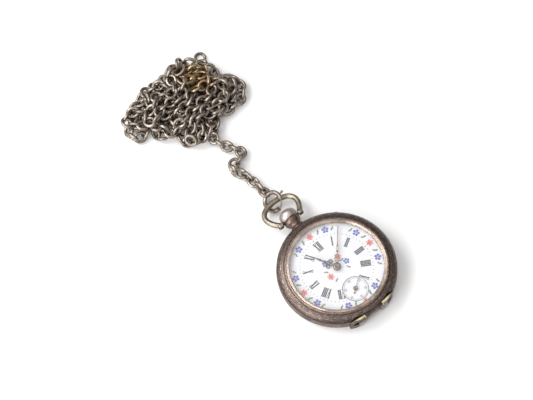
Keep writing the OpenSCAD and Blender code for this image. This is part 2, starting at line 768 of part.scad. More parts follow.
module escape_wheel() {
    color([0.6, 0.6, 0.62]) at(escape_at) {
        difference() {
            translate([0, 0, 4.45]) union() {
                tube(escape_r * 0.8, escape_r * 0.66, 0.2);
                cylinder(r = 0.8, h = 0.2);
                for (k = [0 : 2]) rotate(k * 120) translate([0, -0.15, 0]) cube([escape_r * 0.7, 0.3, 0.2]);
                for (k = [0 : 14]) rotate(k * 24 + 4) translate([escape_r * 0.74, 0, 0])
                    linear_extrude(0.2) polygon([[0, -0.2], [escape_r * 0.26, 0.1], [escape_r * 0.24, 0.25], [0, 0.15]]);
            }
        }
        translate([0, 0, 4.65]) gear(escape_pinion_teeth, m_fourth, 0.6, phase = phase_escape_pinion);
        translate([0, 0, z_train + 0.05]) cylinder(r = pivot_r, h = 2.75);
    }
}

// ---------- balance ----------

module balance_wheel() {
    color([0.82, 0.72, 0.42]) at(balance_at, 3.2) {
        tube(balance_r, balance_r - 0.7, 0.6);
        tube(1, 0.36, 0.35);
        for (k = [0 : 2])
            rotate(k * 120 + 20) translate([0.8, -0.25, 0]) cube([balance_r - 1.3, 0.5, 0.35]);
    }
}

module balance_staff() {
    color([0.6, 0.6, 0.62]) at(balance_at) {
        translate([0, 0, z_cock + 0.05]) cylinder(r = pivot_r, h = 4.5);
        translate([0, 0, z_cock + 0.6]) cylinder(r = 0.36, h = 5.85 - z_cock - 0.6);
    }
}

module hairspring() {
    turns = 8;
    steps = 24;
    n = turns * steps;
    inner = [for (k = [0 : n]) let (a = 360 * k / steps, r = 0.42 + 2.4 * k / n) r * [cos(a), sin(a)]];
    outer = [for (k = [n : -1 : 0]) let (a = 360 * k / steps, r = 0.49 + 2.4 * k / n) r * [cos(a), sin(a)]];
    color([0.3, 0.4, 0.7]) at(balance_at, z_cock + 0.62) linear_extrude(0.16) polygon(concat(inner, outer));
}

module regulator() {
    color([0.6, 0.6, 0.62]) at(balance_at, z_cock - 0.22) rotate(105) {
        tube(1.5, 1.05, 0.18);
        translate([1.3, -0.2, 0]) cube([3.4, 0.4, 0.18]);
    }
}

// ---------- motion work and hands ----------

module cannon_pinion() {
    color([0.6, 0.6, 0.62]) difference() {
        union() {
            translate([0, 0, z_plate_top + 0.05]) gear(cannon_teeth, m_cannon, 0.3);
            translate([0, 0, z_plate_top + 0.05]) cylinder(r = 0.55, h = 2.8);
        }
        cylinder(r = arbor_r + slack, h = 20);
    }
}

module minute_wheel() {
    color([0.8, 0.7, 0.42]) at(minute_at) difference() {
        union() {
            translate([0, 0, z_plate_top + 0.1]) gear(minute_teeth, m_cannon, 0.2, phase = phase_minute);
            translate([0, 0, z_plate_top + 0.1]) gear(minute_pinion_teeth, m_hour, 0.6);
        }
        cylinder(r = post_r + slack, h = 20);
    }
}

module hour_wheel() {
    color([0.8, 0.7, 0.42]) difference() {
        union() {
            translate([0, 0, z_plate_top + 0.42]) gear(hour_teeth, m_hour, 0.22, phase = phase_hour);
            translate([0, 0, z_plate_top + 0.42]) cylinder(r = 0.9, h = 1.85);
        }
        cylinder(r = 0.55 + slack, h = 20);
    }
}

// A pierced leaf hand: hub ring, scrolled body and a slim tip, pointing along +Y
module leaf_hand(length, hub_r, bore, body_w, z, h) {
    translate([0, 0, z]) difference() {
        union() {
            cylinder(r = hub_r, h = h);
            linear_extrude(h) polygon([
                [-0.35, 0], [-0.35, length * 0.2], [-body_w / 2, length * 0.32], [-0.4, length * 0.46],
                [-0.55, length * 0.55], [-0.15, length * 0.62], [-0.08, length],
                [0.08, length], [0.15, length * 0.62], [0.55, length * 0.55],
                [0.4, length * 0.46], [body_w / 2, length * 0.32], [0.35, length * 0.2], [0.35, 0]
            ]);
        }
        translate([0, 0, -1]) cylinder(r = bore, h = h + 2);
        translate([0, length * 0.32, -1]) cylinder(r = body_w * 0.24, h = h + 2);
    }
}

module hour_hand() {
    color([0.55, 0.47, 0.35]) rotate(-hour_angle) leaf_hand(hour_len, 1.5, 0.9, 2.3, 9.15, 0.18);
}

module minute_hand() {
    color([0.62, 0.54, 0.4]) rotate(-minute_angle) leaf_hand(minute_len, 1.3, 0.55, 2, 9.6, 0.18);
}

module hand_boss() {
    color([0.6, 0.5, 0.34]) translate([0, 0, 9.98]) difference() {
        union() {
            cylinder(r = 1.5, h = 0.25);
            translate([0, 0, 0.25]) cylinder(r1 = 1.5, r2 = 0.9, h = 0.35);
        }
        translate([0, 0, -1]) cylinder(r = arbor_r + slack, h = 1.1);
    }
}

module seconds_hand() {
    color([0.5, 0.42, 0.34]) at(seconds_at, 8.95) rotate(-seconds_angle) difference() {
        union() {
            cylinder(r = 0.95, h = 0.14);
            linear_extrude(0.14) polygon([[-0.14, -1.9], [-0.06, seconds_len], [0.06, seconds_len], [0.14, -1.9]]);
            translate([0, -1.9, 0]) cylinder(r = 0.36, h = 0.14);
        }
        translate([0, 0, -1]) cylinder(r = 0.2, h = 3);
    }
}

// ---------- clasp and chain ----------

// The bolt ring's own frame: lying across the bow's top wire, tilted
module in_ring() {
    translate([0, bow_top_y + 0.3, bow_top_z]) rotate([0, -ring_tilt, 0]) children();
}

module bolt_ring() {
    span = 360 + ring_gap_from - ring_gap_to;
    bore_to = bolt_back + bolt_travel + 25;
    color([0.62, 0.6, 0.55]) in_ring() {
        difference() {
            rotate_extrude(start = ring_gap_to, angle = span) translate([ring_r, 0]) circle(r = ring_tube_r);
            rotate_extrude(start = ring_gap_to - 1, angle = bore_to - ring_gap_to) translate([ring_r, 0])
                circle(r = bolt_bore_r);
            rotate_extrude(start = ring_gap_from - 9, angle = 10) translate([ring_r, 0]) circle(r = bolt_bore_r);
            rotate_extrude(start = -5, angle = bolt_travel + 10) translate([ring_r, -0.3]) square([2, 0.6]);
        }
        translate([0, ring_r + ring_tube_r + eye_r - 0.15, 0]) difference() {
            rotate([0, 90, 0]) rotate_extrude() translate([eye_r, 0]) circle(r = eye_wire_r);
            translate([-2, -ring_tube_r - eye_r + 0.15 - 1, -2]) cube([4, 1 + ring_tube_r * 0.6, 4]);
        }
    }
}

module bolt() {
    color([0.5, 0.47, 0.42]) in_ring() {
        rotate_extrude(start = ring_gap_from - 6, angle = bolt_back - ring_gap_from + 6) translate([ring_r, 0])
            circle(r = bolt_r);
        translate([ring_r, 0, 0]) rotate([0, 90, 0]) cylinder(r = 0.22, h = 1.9);
        translate([ring_r + 2, 0, 0]) sphere(r = 0.5);
    }
}

// Coil spring behind the bolt, drawn as its outer sleeve
module bolt_spring() {
    color([0.5, 0.5, 0.52]) in_ring() rotate_extrude(start = bolt_back + 1, angle = bolt_travel + 22)
        translate([ring_r, 0]) difference() {
            circle(r = 0.36);
            circle(r = 0.24);
        }
}

// Plain sleeve around the links, from the clasp's eye to the heap
module chain_strand() {
    color([0.55, 0.5, 0.45]) swept_tube(strand, link_w / 2, 8);
}

// Rounded mound of the gathered chain, in three steps
module chain_heap() {
    color([0.55, 0.5, 0.45]) {
        linear_extrude(heap_h * 0.5) polygon(heap_low);
        for (step = [[0.78, 0.8], [0.5, 1]])
            linear_extrude(heap_h * step[1])
                polygon([for (p = heap_low) heap_centre + step[0] * (p - heap_centre)]);
    }
}

module end_ring() {
    color([0.62, 0.6, 0.55]) translate([17.2, 103.4, end_wire_r]) rotate_extrude()
        translate([end_ring_r, 0]) circle(r = end_wire_r);
}

back_cover();
cuvette();
case_band();
bezel();
crystal();
hinge_pins();
pendant();
crown();
winding_stem();
winding_pinion();
set_button();
setting_lever();
setting_wheel();
bow();
bow_screws();
dial();
dial_feet();
main_plate();
barrel_bridge();
train_bridge();
escape_cock();
balance_cock();
plate_screws();
jewels();
barrel();
barrel_cover();
barrel_arbor();
mainspring();
ratchet_wheel();
crown_wheel();
wheel_screws();
click();
click_spring();
centre_wheel();
third_wheel();
fourth_wheel();
escape_wheel();
balance_wheel();
balance_staff();
hairspring();
regulator();
cannon_pinion();
minute_wheel();
hour_wheel();
hour_hand();
minute_hand();
hand_boss();
seconds_hand();
bolt_ring();
bolt();
bolt_spring();
chain_strand();
chain_heap();
end_ring();
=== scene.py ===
"""Open-face pocket watch with a long cable chain, lying on a pale table.

Lengths in this file are millimetres in the CAD frame, turned into metres where a mesh is made.
Angles round the dial run clockwise from 12 o'clock, in degrees.
"""
import json
import math

import bpy
import numpy as np
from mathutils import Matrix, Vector


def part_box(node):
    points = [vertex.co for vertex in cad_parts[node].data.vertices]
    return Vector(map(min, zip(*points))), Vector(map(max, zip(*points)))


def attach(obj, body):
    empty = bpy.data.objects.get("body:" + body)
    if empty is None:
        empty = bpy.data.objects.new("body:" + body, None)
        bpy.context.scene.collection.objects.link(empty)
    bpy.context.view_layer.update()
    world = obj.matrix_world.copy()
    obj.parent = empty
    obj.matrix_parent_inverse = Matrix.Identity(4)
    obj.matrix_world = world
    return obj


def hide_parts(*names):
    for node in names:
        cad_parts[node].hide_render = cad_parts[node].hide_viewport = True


MM = 0.001
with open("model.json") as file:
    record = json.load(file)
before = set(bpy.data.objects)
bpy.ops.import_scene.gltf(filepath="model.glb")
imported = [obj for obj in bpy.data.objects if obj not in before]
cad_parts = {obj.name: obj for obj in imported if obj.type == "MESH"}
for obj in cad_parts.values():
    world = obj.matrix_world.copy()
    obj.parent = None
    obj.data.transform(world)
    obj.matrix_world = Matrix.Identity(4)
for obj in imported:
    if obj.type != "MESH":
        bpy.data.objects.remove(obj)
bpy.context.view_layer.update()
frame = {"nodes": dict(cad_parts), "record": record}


def span(node):
    """A CAD node's lowest and highest corners, in millimetres."""
    low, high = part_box(node)
    return np.array(low) / MM, np.array(high) / MM


# ---------- sizes, in the CAD model's own frame ----------

# Dial and hands
DIAL_TOP = span("dial")[1][2]
PAINT_LIFT = 0.012
SECONDS_AT = np.array([0.0, -11.2])
SECONDS_R = 4.9
SECONDS_Z = DIAL_TOP - 0.1
MINUTE_TRACK_R = 14.0
NUMERAL_LOW, NUMERAL_HIGH = 9.2, 13.05
MINUTE_HAND_ANGLE = 41
HOUR_HAND_ANGLE = -26
SECONDS_HAND_ANGLE = 52

# Bezel, and the hinge that it is cut back for at 6 o'clock
BEZEL_LOW = span("bezel")[0][2]
CARVED_LOW_Z, CARVED_INNER_R = 8.9, 19.1  # the relief is cut above and outside these
LIP_R = 19.12
ROPE_R, ROPE_HALF_W = 19.62, 0.42
VINE_R, VINE_HALF_W = 21.35, 0.95
THUMB_LIP_ANGLE = 77
CHORD_Y, CHORD_TOP_Z = -20.4, 9.6
HINGE_Y = -21.6
KNUCKLE_R = 1.19
KNUCKLE_Z = 7.6
KNUCKLE_HALF_W = 3.94
CAP_R = 23.12
CAP_INNER_X, CAP_OUTER_X = 4.1, 10.4

# Crown, bow and clasp
STEM_Z = 5.5
BOW_PIVOT = np.array([0.0, 27.6, STEM_Z])
BOW_DROOP = math.radians(12)
BOW_LEN = 10.5
BOW_HALF_W = 7.3
BOW_R = 1.1
BOW_TOP_R, BOW_LEG_R = 12, 8.5
RING_R = 3.63
RING_WIRE = 0.85
RING_TILT = math.radians(40)
BOLT_R = 0.34

# Chain
LINK_LEN = 5.7
LINK_W = 4.7
LINK_WIRE = 0.65
LINK_GAP = 3.5  # how near the middles of two links in the heap may come
PITCH = 3.1
CHAIN_LEN = 750
ROW_MARGIN = 2.2
BRASS_PATCH = (9, 95, 8)
SETTLING_STEPS = 300


# ---------- mesh helpers ----------

def turned(angle, radius, centre=(0.0, 0.0)):
    """The point at a clockwise angle from 12 o'clock and a radius."""
    a = math.radians(angle)
    return np.array([centre[0] + radius * math.sin(a), centre[1] + radius * math.cos(a)])


def piece(name, verts, faces, material, body, slot, smooth=True):
    """A mesh piece from millimetre points, riding on a CAD body."""
    mesh = bpy.data.meshes.new(name)
    mesh.from_pydata([tuple(float(x) * MM for x in v) for v in verts], [], faces)
    mesh.validate()
    mesh.polygons.foreach_set("use_smooth", [smooth] * len(mesh.polygons))
    mesh.materials.append(material)
    obj = bpy.data.objects.new(name, mesh)
    bpy.context.collection.objects.link(obj)
    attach(obj, body)
    return obj


def joined(parts):
    """Several (verts, faces) pairs as one."""
    verts, faces = [], []
    for v, f in parts:
        base = len(verts)
        verts.extend(v)
        faces.extend([tuple(i + base for i in face) for face in f])
    return verts, faces


def quads(rows, columns, wrap_rows=True, wrap_columns=True, flip=False):
    """Faces over a grid of points that are listed row by row."""
    faces = []
    for k in range(rows if wrap_rows else rows - 1):
        n = (k + 1) % rows
        for s in range(columns if wrap_columns else columns - 1):
            t = (s + 1) % columns
            face = (k * columns + s, k * columns + t, n * columns + t, n * columns + s)
            faces.append((face[0], *face[:0:-1]) if flip else face)
    return faces


def swept(path, radius, sides=16, closed=False):
    """A round tube along a path; radius is one number or one for each point."""
    path = np.array(path, float)
    count = len(path)
    radii = np.broadcast_to(radius, count)
    if closed:
        ahead = np.roll(path, -1, 0) - np.roll(path, 1, 0)
    else:
        ahead = np.gradient(path, axis=0)
    ahead /= np.linalg.norm(ahead, axis=1)[:, None]
    across = np.cross(ahead[0], [0.0, 0.0, 1.0])
    if np.linalg.norm(across) < 0.1:
        across = np.array([1.0, 0.0, 0.0])
    verts = []
    for k in range(count):
        across = across - ahead[k] * across.dot(ahead[k])
        across /= np.linalg.norm(across)
        up = np.cross(across, ahead[k])
        for s in range(sides):
            a = 2 * math.pi * s / sides
            verts.append(path[k] + radii[k] * (math.cos(a) * across + math.sin(a) * up))
    faces = quads(count, sides, wrap_rows=closed)
    if not closed:
        faces.append(tuple(range(sides)))
        faces.append(tuple(range(count * sides - 1, (count - 1) * sides - 1, -1)))
    return verts, faces


def lathe(profile, segments=192, closed=True):
    """Turns (radius, height) points round the Z axis."""
    verts = []
    for k in range(segments):
        a = 2 * math.pi * k / segments
        verts.extend([np.array([r * math.cos(a), r * math.sin(a), z]) for r, z in profile])
    return verts, quads(segments, len(profile), wrap_columns=closed, flip=True)


def along_stem(verts):
    """Stands lathe points on the pendant's axis, so that height runs towards 12 o'clock."""
    return [np.array([v[0], v[2], STEM_Z - v[1]]) for v in verts]


def arc(centre, radius, start, stop, count):
    """Points of an arc in the XY plane; degrees run anticlockwise from +X."""
    angles = np.radians(np.linspace(start, stop, count))
    return [np.array([centre[0] + radius * math.cos(a), centre[1] + radius * math.sin(a), 0.0])
            for a in angles]


def slab(outline, low, high, hole=None):
    """A flat plate from an outline, its upper edge eased; hole is a second outline of as many points."""
    outline = np.array(outline, float)
    centre = outline.mean(0)
    ease = 0.25 * (high - low)
    size = np.linalg.norm(outline - centre, axis=1).max()
    inner = centre + (outline - centre) * (1 - ease / size)
    count = len(outline)
    levels = [(outline, low), (outline, high - ease), (inner, high)]
    if hole is not None:
        levels += [(np.array(hole, float), high), (np.array(hole, float), low)]
    verts = [np.array([p[0], p[1], z]) for ring, z in levels for p in ring]
    loops = len(levels)
    faces = quads(loops, count, wrap_rows=hole is not None)
    if hole is None:
        faces.append(tuple(range((loops - 1) * count, loops * count)))
        faces.append(tuple(range(count - 1, -1, -1)))
    return verts, faces


def ellipse(centre, rx, ry, count=24):
    """An oval outline."""
    return [(centre[0] + rx * math.cos(a), centre[1] + ry * math.sin(a))
            for a in np.linspace(0, 2 * math.pi, count, endpoint=False)]


def eyelet(centre, rx, ry, band, low, high, count=24):
    """A flat oval ring."""
    return slab(ellipse(centre, rx, ry, count), low, high, ellipse(centre, rx - band, ry - band, count))


def spun_points(points, angle, centre=(0.0, 0.0)):
    """Turns points drawn along +Y to a clockwise angle and moves them to centre."""
    a = math.radians(angle)
    return [np.array([centre[0] + p[0] * math.cos(a) + p[1] * math.sin(a),
                      centre[1] - p[0] * math.sin(a) + p[1] * math.cos(a), p[2]]) for p in points]


def spun(part, angle, centre=(0.0, 0.0)):
    """Turns a (verts, faces) part the same way."""
    verts, faces = part
    return spun_points(verts, angle, centre), faces


# ---------- materials ----------

def node(tree, kind, inputs=None, **settings):
    """A shader node with its settings and input values or links."""
    made = tree.nodes.new(kind)
    for key, value in settings.items():
        setattr(made, key, value)
    for key, value in (inputs or {}).items():
        if isinstance(value, bpy.types.NodeSocket):
            tree.links.new(value, made.inputs[key])
        else:
            made.inputs[key].default_value = value
    return made


def blank_material(name):
    """A new material, its node tree and its shader."""
    mat = bpy.data.materials.new(name)
    mat.use_nodes = True
    tree = mat.node_tree
    return mat, tree, tree.nodes["Principled BSDF"]


def place(tree):
    """The surface's own coordinates."""
    return tree.nodes.new("ShaderNodeTexCoord").outputs["Object"]


def polar(tree, centre=(0.0, 0.0), radius=21.5):
    """Object coordinates unrolled round the dial: (arc length at a radius, radius, height)."""
    shifted = node(tree, "ShaderNodeVectorMath", {0: place(tree), 1: (-centre[0] * MM, -centre[1] * MM, 0)},
                   operation="ADD")
    xyz = node(tree, "ShaderNodeSeparateXYZ", {0: shifted.outputs[0]})
    angle = node(tree, "ShaderNodeMath", {0: xyz.outputs[1], 1: xyz.outputs[0]}, operation="ARCTAN2")
    flat = node(tree, "ShaderNodeVectorMath", {0: shifted.outputs[0], 1: (1, 1, 0)}, operation="MULTIPLY")
    far = node(tree, "ShaderNodeVectorMath", {0: flat.outputs[0]}, operation="LENGTH")
    arc_length = node(tree, "ShaderNodeMath", {0: angle.outputs[0], 1: radius * MM}, operation="MULTIPLY")
    return node(tree, "ShaderNodeCombineXYZ",
                {0: arc_length.outputs[0], 1: far.outputs["Value"], 2: xyz.outputs[2]}).outputs[0]


def noise(tree, vector, scale, detail=4.0, roughness=0.6):
    """Cloudy noise from 0 to 1."""
    return node(tree, "ShaderNodeTexNoise",
                {"Vector": vector, "Scale": scale, "Detail": detail, "Roughness": roughness}).outputs["Fac"]


def ramp(tree, fac, stops):
    """A colour ramp from (position, colour) stops."""
    made = node(tree, "ShaderNodeValToRGB", {"Fac": fac})
    elements = made.color_ramp.elements
    while len(elements) < len(stops):
        elements.new(0.5)
    for element, (position, colour) in zip(elements, stops):
        element.position = position
        element.color = (*colour, 1.0)
    return made.outputs["Color"]


def spread(tree, fac, low, high, start=0.3, stop=0.7):
    """Stretches fac, from start to stop, over low to high."""
    return node(tree, "ShaderNodeMapRange",
                {"Value": fac, "From Min": start, "From Max": stop, "To Min": low, "To Max": high}).outputs[0]


def bump(tree, height, distance):
    """Relief of a depth in millimetres."""
    inputs = {"Height": height, "Distance": distance * MM, "Strength": 1.0}
    return node(tree, "ShaderNodeBump", inputs).outputs["Normal"]


def bands(tree, vector, scale, distortion, direction, **more):
    """Parallel waved lines across one direction of the coordinates."""
    inputs = {"Vector": vector, "Scale": scale, "Distortion": distortion, **more}
    return node(tree, "ShaderNodeTexWave", inputs, wave_type="BANDS",
                bands_direction=direction).outputs["Fac"]


def dress(tree, shader, colour, rough, relief=None, metallic=0.0):
    """Links a colour, a roughness and a relief to a shader."""
    shader.inputs["Metallic"].default_value = metallic
    tree.links.new(colour, shader.inputs["Base Color"])
    tree.links.new(rough, shader.inputs["Roughness"])
    if relief:
        tree.links.new(relief, shader.inputs["Normal"])


def metal(name, stops, rough=(0.25, 0.45), scale=260.0, grain=0.02):
    """Worn metal: blotches of tarnish, uneven polish and fine scratches."""
    mat, tree, shader = blank_material(name)
    where = place(tree)
    blotch = noise(tree, where, scale, 6.0)
    fine = noise(tree, where, scale * 9, 3.0)
    dress(tree, shader, ramp(tree, blotch, stops), spread(tree, fine, *rough), bump(tree, fine, grain), 1.0)
    return mat


def engraved_silver(name):
    """Tarnished silver with worn, waving cuts that run round the rim, a dark line of painted shade in its
    groove, a lighter crest inside that line and a darker outer edge.
    """
    mat, tree, shader = blank_material(name)
    where = polar(tree)
    vine = bands(tree, where, 520.0, 6.0, "Y", **{"Detail": 2.0, "Detail Scale": 2.0})
    leaves = node(tree, "ShaderNodeTexVoronoi", {"Vector": where, "Scale": 1700.0, "Randomness": 0.8},
                  feature="SMOOTH_F1").outputs["Distance"]
    cut = node(tree, "ShaderNodeMath", {0: vine, 1: leaves}, operation="MULTIPLY").outputs[0]
    wear = noise(tree, place(tree), 900.0, 5.0)
    mixed = node(tree, "ShaderNodeMath", {0: cut, 1: spread(tree, wear, 0.0, 0.42)},
                 operation="ADD").outputs[0]
    colour = ramp(tree, mixed, [(0.10, (0.11, 0.080, 0.068)), (0.40, (0.19, 0.140, 0.122)),
                                (0.66, (0.29, 0.225, 0.196)), (0.95, (0.56, 0.46, 0.40))])
    radius = node(tree, "ShaderNodeSeparateXYZ", {0: where}).outputs[1]
    # Painted shade: the dark stop of this ramp is the shade in the groove at 20.1 to 20.3 mm; the crest
    # inside it is lighter and the outer edge darker.
    rings = ramp(tree, spread(tree, radius, 0.0, 1.0, 19 * MM, 23 * MM),
                 [(0.25, (1.0, 0.98, 0.95)), (0.28, (0.22, 0.20, 0.19)), (0.32, (0.22, 0.20, 0.19)),
                  (0.36, (0.68, 0.68, 0.68)), (0.88, (0.68, 0.68, 0.68)), (0.92, (0.40, 0.38, 0.37))])
    # worn is the tarnished colour times these painted shade rings.
    worn = node(tree, "ShaderNodeMix", {0: 1.0, 6: colour, 7: rings},
                data_type="RGBA", blend_type="MULTIPLY")
    dress(tree, shader, worn.outputs[2], spread(tree, wear, 0.30, 0.45), bump(tree, cut, 0.022), 0.9)
    return mat


def reeded_silver(name):
    """Rubbed rose-tinted silver with fine turned lines that run round with the glass."""
    mat, tree, shader = blank_material(name)
    lines = bands(tree, polar(tree), 1100.0, 0.3, "Y")
    wear = noise(tree, place(tree), 200.0, 5.0)
    colour = ramp(tree, wear, [(0.3, (0.36, 0.275, 0.235)), (0.7, (0.72, 0.60, 0.52))])
    dress(tree, shader, colour, spread(tree, wear, 0.16, 0.30), bump(tree, lines, 0.06), 1.0)
    return mat


def engine_turned(name, centre=(0.0, 0.0)):
    """Silver with fine waved rays running out from a centre, as a guilloche lathe cuts them."""
    mat, tree, shader = blank_material(name)
    where = polar(tree, centre, 15.0)
    rays = bands(tree, where, 420.0, 2.5, "X", Detail=0.0)
    circles = bands(tree, where, 260.0, 1.0, "Y", Detail=0.0)
    cut = node(tree, "ShaderNodeMath", {0: rays, 1: circles}, operation="MULTIPLY").outputs[0]
    wear = noise(tree, place(tree), 180.0, 6.0)
    colour = ramp(tree, wear, [(0.3, (0.30, 0.265, 0.245)), (0.7, (0.52, 0.475, 0.445))])
    dress(tree, shader, colour, spread(tree, wear, 0.25, 0.42), bump(tree, cut, 0.14), 1.0)
    return mat


def striped_gilt(name):
    """Frosted gilt brass with the broad polished stripes of a watch bridge."""
    mat, tree, shader = blank_material(name)
    where = place(tree)
    stripes = bands(tree, where, 160.0, 0.0, "DIAGONAL")
    frost = noise(tree, where, 4000.0, 2.0)
    colour = ramp(tree, stripes, [(0.2, (0.46, 0.35, 0.18)), (0.8, (0.60, 0.48, 0.28))])
    dress(tree, shader, colour, spread(tree, stripes, 0.25, 0.42, 0.0, 1.0), bump(tree, frost, 0.01), 1.0)
    return mat


def enamel(name):
    """White fired enamel: glossy, with the faintest cloud and orange peel."""
    mat, tree, shader = blank_material(name)
    cloud = noise(tree, place(tree), 120.0, 3.0)
    colour = ramp(tree, cloud, [(0.3, (0.69, 0.685, 0.72)), (0.7, (0.75, 0.745, 0.775))])
    peel = bump(tree, noise(tree, place(tree), 900.0, 1.0), 0.004)
    dress(tree, shader, colour, spread(tree, cloud, 0.10, 0.18), peel)
    shader.inputs["Coat Weight"].default_value = 0.4
    shader.inputs["Coat Roughness"].default_value = 0.05
    return mat


def paint(name, light, dark):
    """Fired paint on the dial: brush strokes of uneven strength."""
    mat, tree, shader = blank_material(name)
    brush = noise(tree, place(tree), 2600.0, 3.0)
    dress(tree, shader, ramp(tree, brush, [(0.35, dark), (0.65, light)]), spread(tree, brush, 0.25, 0.4))
    return mat


def crystal_glass(name):
    """Thin clear glass with a few hairline marks."""
    mat, tree, shader = blank_material(name)
    marks = noise(tree, place(tree), 700.0, 8.0, 0.8)
    shader.inputs["Base Color"].default_value = (0.93, 0.96, 0.97, 1.0)
    shader.inputs["Alpha"].default_value = 0.07
    shader.inputs["IOR"].default_value = 1.5
    tree.links.new(spread(tree, marks, 0.01, 0.06), shader.inputs["Roughness"])
    return mat


def ruby(name):
    """Red synthetic jewel, with a cloudy depth."""
    mat, tree, shader = blank_material(name)
    depth = noise(tree, place(tree), 1500.0, 2.0)
    tree.links.new(ramp(tree, depth, [(0.3, (0.35, 0.01, 0.05)), (0.7, (0.62, 0.05, 0.13))]),
                   shader.inputs["Base Color"])
    shader.inputs["Roughness"].default_value = 0.08
    shader.inputs["Transmission Weight"].default_value = 0.35
    return mat


def chain_metal(name):
    """Aged nickel silver, bright where links rub, with one patch on top of the heap worn to brass."""
    mat, tree, shader = blank_material(name)
    where = place(tree)
    wear = noise(tree, where, 420.0, 5.0)
    from_patch = node(tree, "ShaderNodeVectorMath", {0: where, 1: tuple(x * MM for x in BRASS_PATCH)},
                      operation="DISTANCE").outputs["Value"]
    brassy = spread(tree, from_patch, 0.85, 0.0, 4 * MM, 9 * MM)
    grey = ramp(tree, wear, [(0.30, (0.13, 0.10, 0.085)), (0.52, (0.30, 0.255, 0.215)),
                             (0.75, (0.56, 0.50, 0.43))])
    gold = ramp(tree, wear, [(0.30, (0.17, 0.105, 0.05)), (0.75, (0.52, 0.38, 0.20))])
    mix = node(tree, "ShaderNodeMix", {0: brassy, 6: grey, 7: gold}, data_type="RGBA")
    grain = bump(tree, noise(tree, where, 2400.0, 2.0), 0.02)
    dress(tree, shader, mix.outputs[2], spread(tree, wear, 0.42, 0.28), grain, 1.0)
    return mat


# Plain metals: tarnished and rubbed colours, roughness, and the blotches' scale where it isn't the usual one
METALS = {
    "dark_silver": ([(0.35, (0.08, 0.058, 0.05)), (0.65, (0.22, 0.175, 0.155))], (0.3, 0.5)),
    "silver": ([(0.3, (0.36, 0.31, 0.285)), (0.7, (0.58, 0.525, 0.495))], (0.32, 0.52)),
    "copper": ([(0.35, (0.07, 0.048, 0.04)), (0.72, (0.29, 0.20, 0.165))], (0.32, 0.5), 420.0),
    "nickel": ([(0.3, (0.19, 0.155, 0.115)), (0.7, (0.42, 0.365, 0.29))], (0.26, 0.42), 300.0),
    "steel": ([(0.3, (0.42, 0.42, 0.44)), (0.7, (0.62, 0.62, 0.64))], (0.15, 0.3)),
    "dark_steel": ([(0.3, (0.03, 0.03, 0.05)), (0.7, (0.10, 0.10, 0.15))], (0.2, 0.35)),
    "brass": ([(0.3, (0.50, 0.36, 0.17)), (0.7, (0.72, 0.56, 0.30))], (0.18, 0.34)),
}
MATERIALS = {name: metal(name, *look) for name, look in METALS.items()}
MATERIALS["glass"] = crystal_glass("glass")
MATERIALS["enamel"] = enamel("enamel")
MATERIALS["gilt"] = striped_gilt("gilt")
MATERIALS["ruby"] = ruby("ruby")

# Finishes of single pieces
ENGRAVED = engraved_silver("engraved_silver")
BACK = engine_turned("engine_turned")
RATCHET = engine_turned("sunburst_steel", tuple(sum(span("ratchet_wheel"))[:2] / 2))
HAND_GILT = metal("hand_gilt", [(0.3, (0.13, 0.072, 0.045)), (0.7, (0.33, 0.20, 0.125))], (0.25, 0.4), 600.0)
HAND_DARK = metal("hand_dark", [(0.3, (0.04, 0.03, 0.024)), (0.7, (0.15, 0.115, 0.08))], (0.3, 0.45), 600.0)
BOSS_BRASS = metal("boss_brass", [(0.3, (0.08, 0.058, 0.035)), (0.7, (0.24, 0.185, 0.11))],
                   (0.25, 0.4), 900.0)
BRIGHT_LIP = reeded_silver("bright_lip")
HINGE_GILT = metal("hinge_gilt", [(0.3, (0.60, 0.48, 0.27)), (0.7, (0.88, 0.76, 0.52))], (0.18, 0.34), 500.0)
CHAIN = chain_metal("chain_metal")

# Paints: a light and a dark stroke
BLACK = paint("paint_black", (0.03, 0.03, 0.035), (0.006, 0.006, 0.01))
GREY = paint("paint_grey", (0.16, 0.15, 0.145), (0.09, 0.085, 0.08))
BLUE = paint("paint_blue", (0.09, 0.13, 0.56), (0.03, 0.05, 0.36))
RED = paint("paint_red", (0.66, 0.09, 0.07), (0.46, 0.03, 0.03))
PINK = paint("paint_pink", (0.78, 0.33, 0.28), (0.62, 0.17, 0.14))
GREEN = paint("paint_green", (0.13, 0.26, 0.10), (0.05, 0.13, 0.045))
GOLD_DOT = paint("paint_gold", (0.36, 0.28, 0.20), (0.24, 0.18, 0.12))


def dress_cad():
    """Gives every CAD node its slot's material, but for a few with a finish of their own."""
    special = {"back_cover": BACK, "cuvette": BACK, "ratchet_wheel": RATCHET, "crown_wheel": RATCHET,
               "bow_screws": MATERIALS["dark_steel"]}
    for entry in frame["record"]["subparts"]:
        name = entry["node"]
        for slot in frame["nodes"][name].material_slots:
            slot.material = special.get(name, MATERIALS[entry["material_slot"]])


# ---------- camera, floor and lights ----------

CAMERA_AZIMUTH, CAMERA_ELEVATION = math.radians(-39.4), math.radians(67)
CAMERA_TARGET = Vector((-0.0006, 0.0414, 0.0))
CAMERA_DISTANCE = 3.397
CAMERA_LENS = 600


def make_camera():
    """Looks down on the watch from the 7 o'clock side, through a long lens."""
    level = math.cos(CAMERA_ELEVATION)
    back = Vector((math.sin(CAMERA_AZIMUTH) * level, -math.cos(CAMERA_AZIMUTH) * level,
                   math.sin(CAMERA_ELEVATION)))
    data = bpy.data.cameras.new("camera")
    data.lens = CAMERA_LENS
    camera = bpy.data.objects.new("camera", data)
    camera.location = CAMERA_TARGET + back * CAMERA_DISTANCE
    camera.rotation_mode = "QUATERNION"
    camera.rotation_quaternion = (-back).to_track_quat("-Z", "Y")
    data.clip_start, data.clip_end = 0.1, 30
    bpy.context.collection.objects.link(camera)
    bpy.context.scene.camera = camera


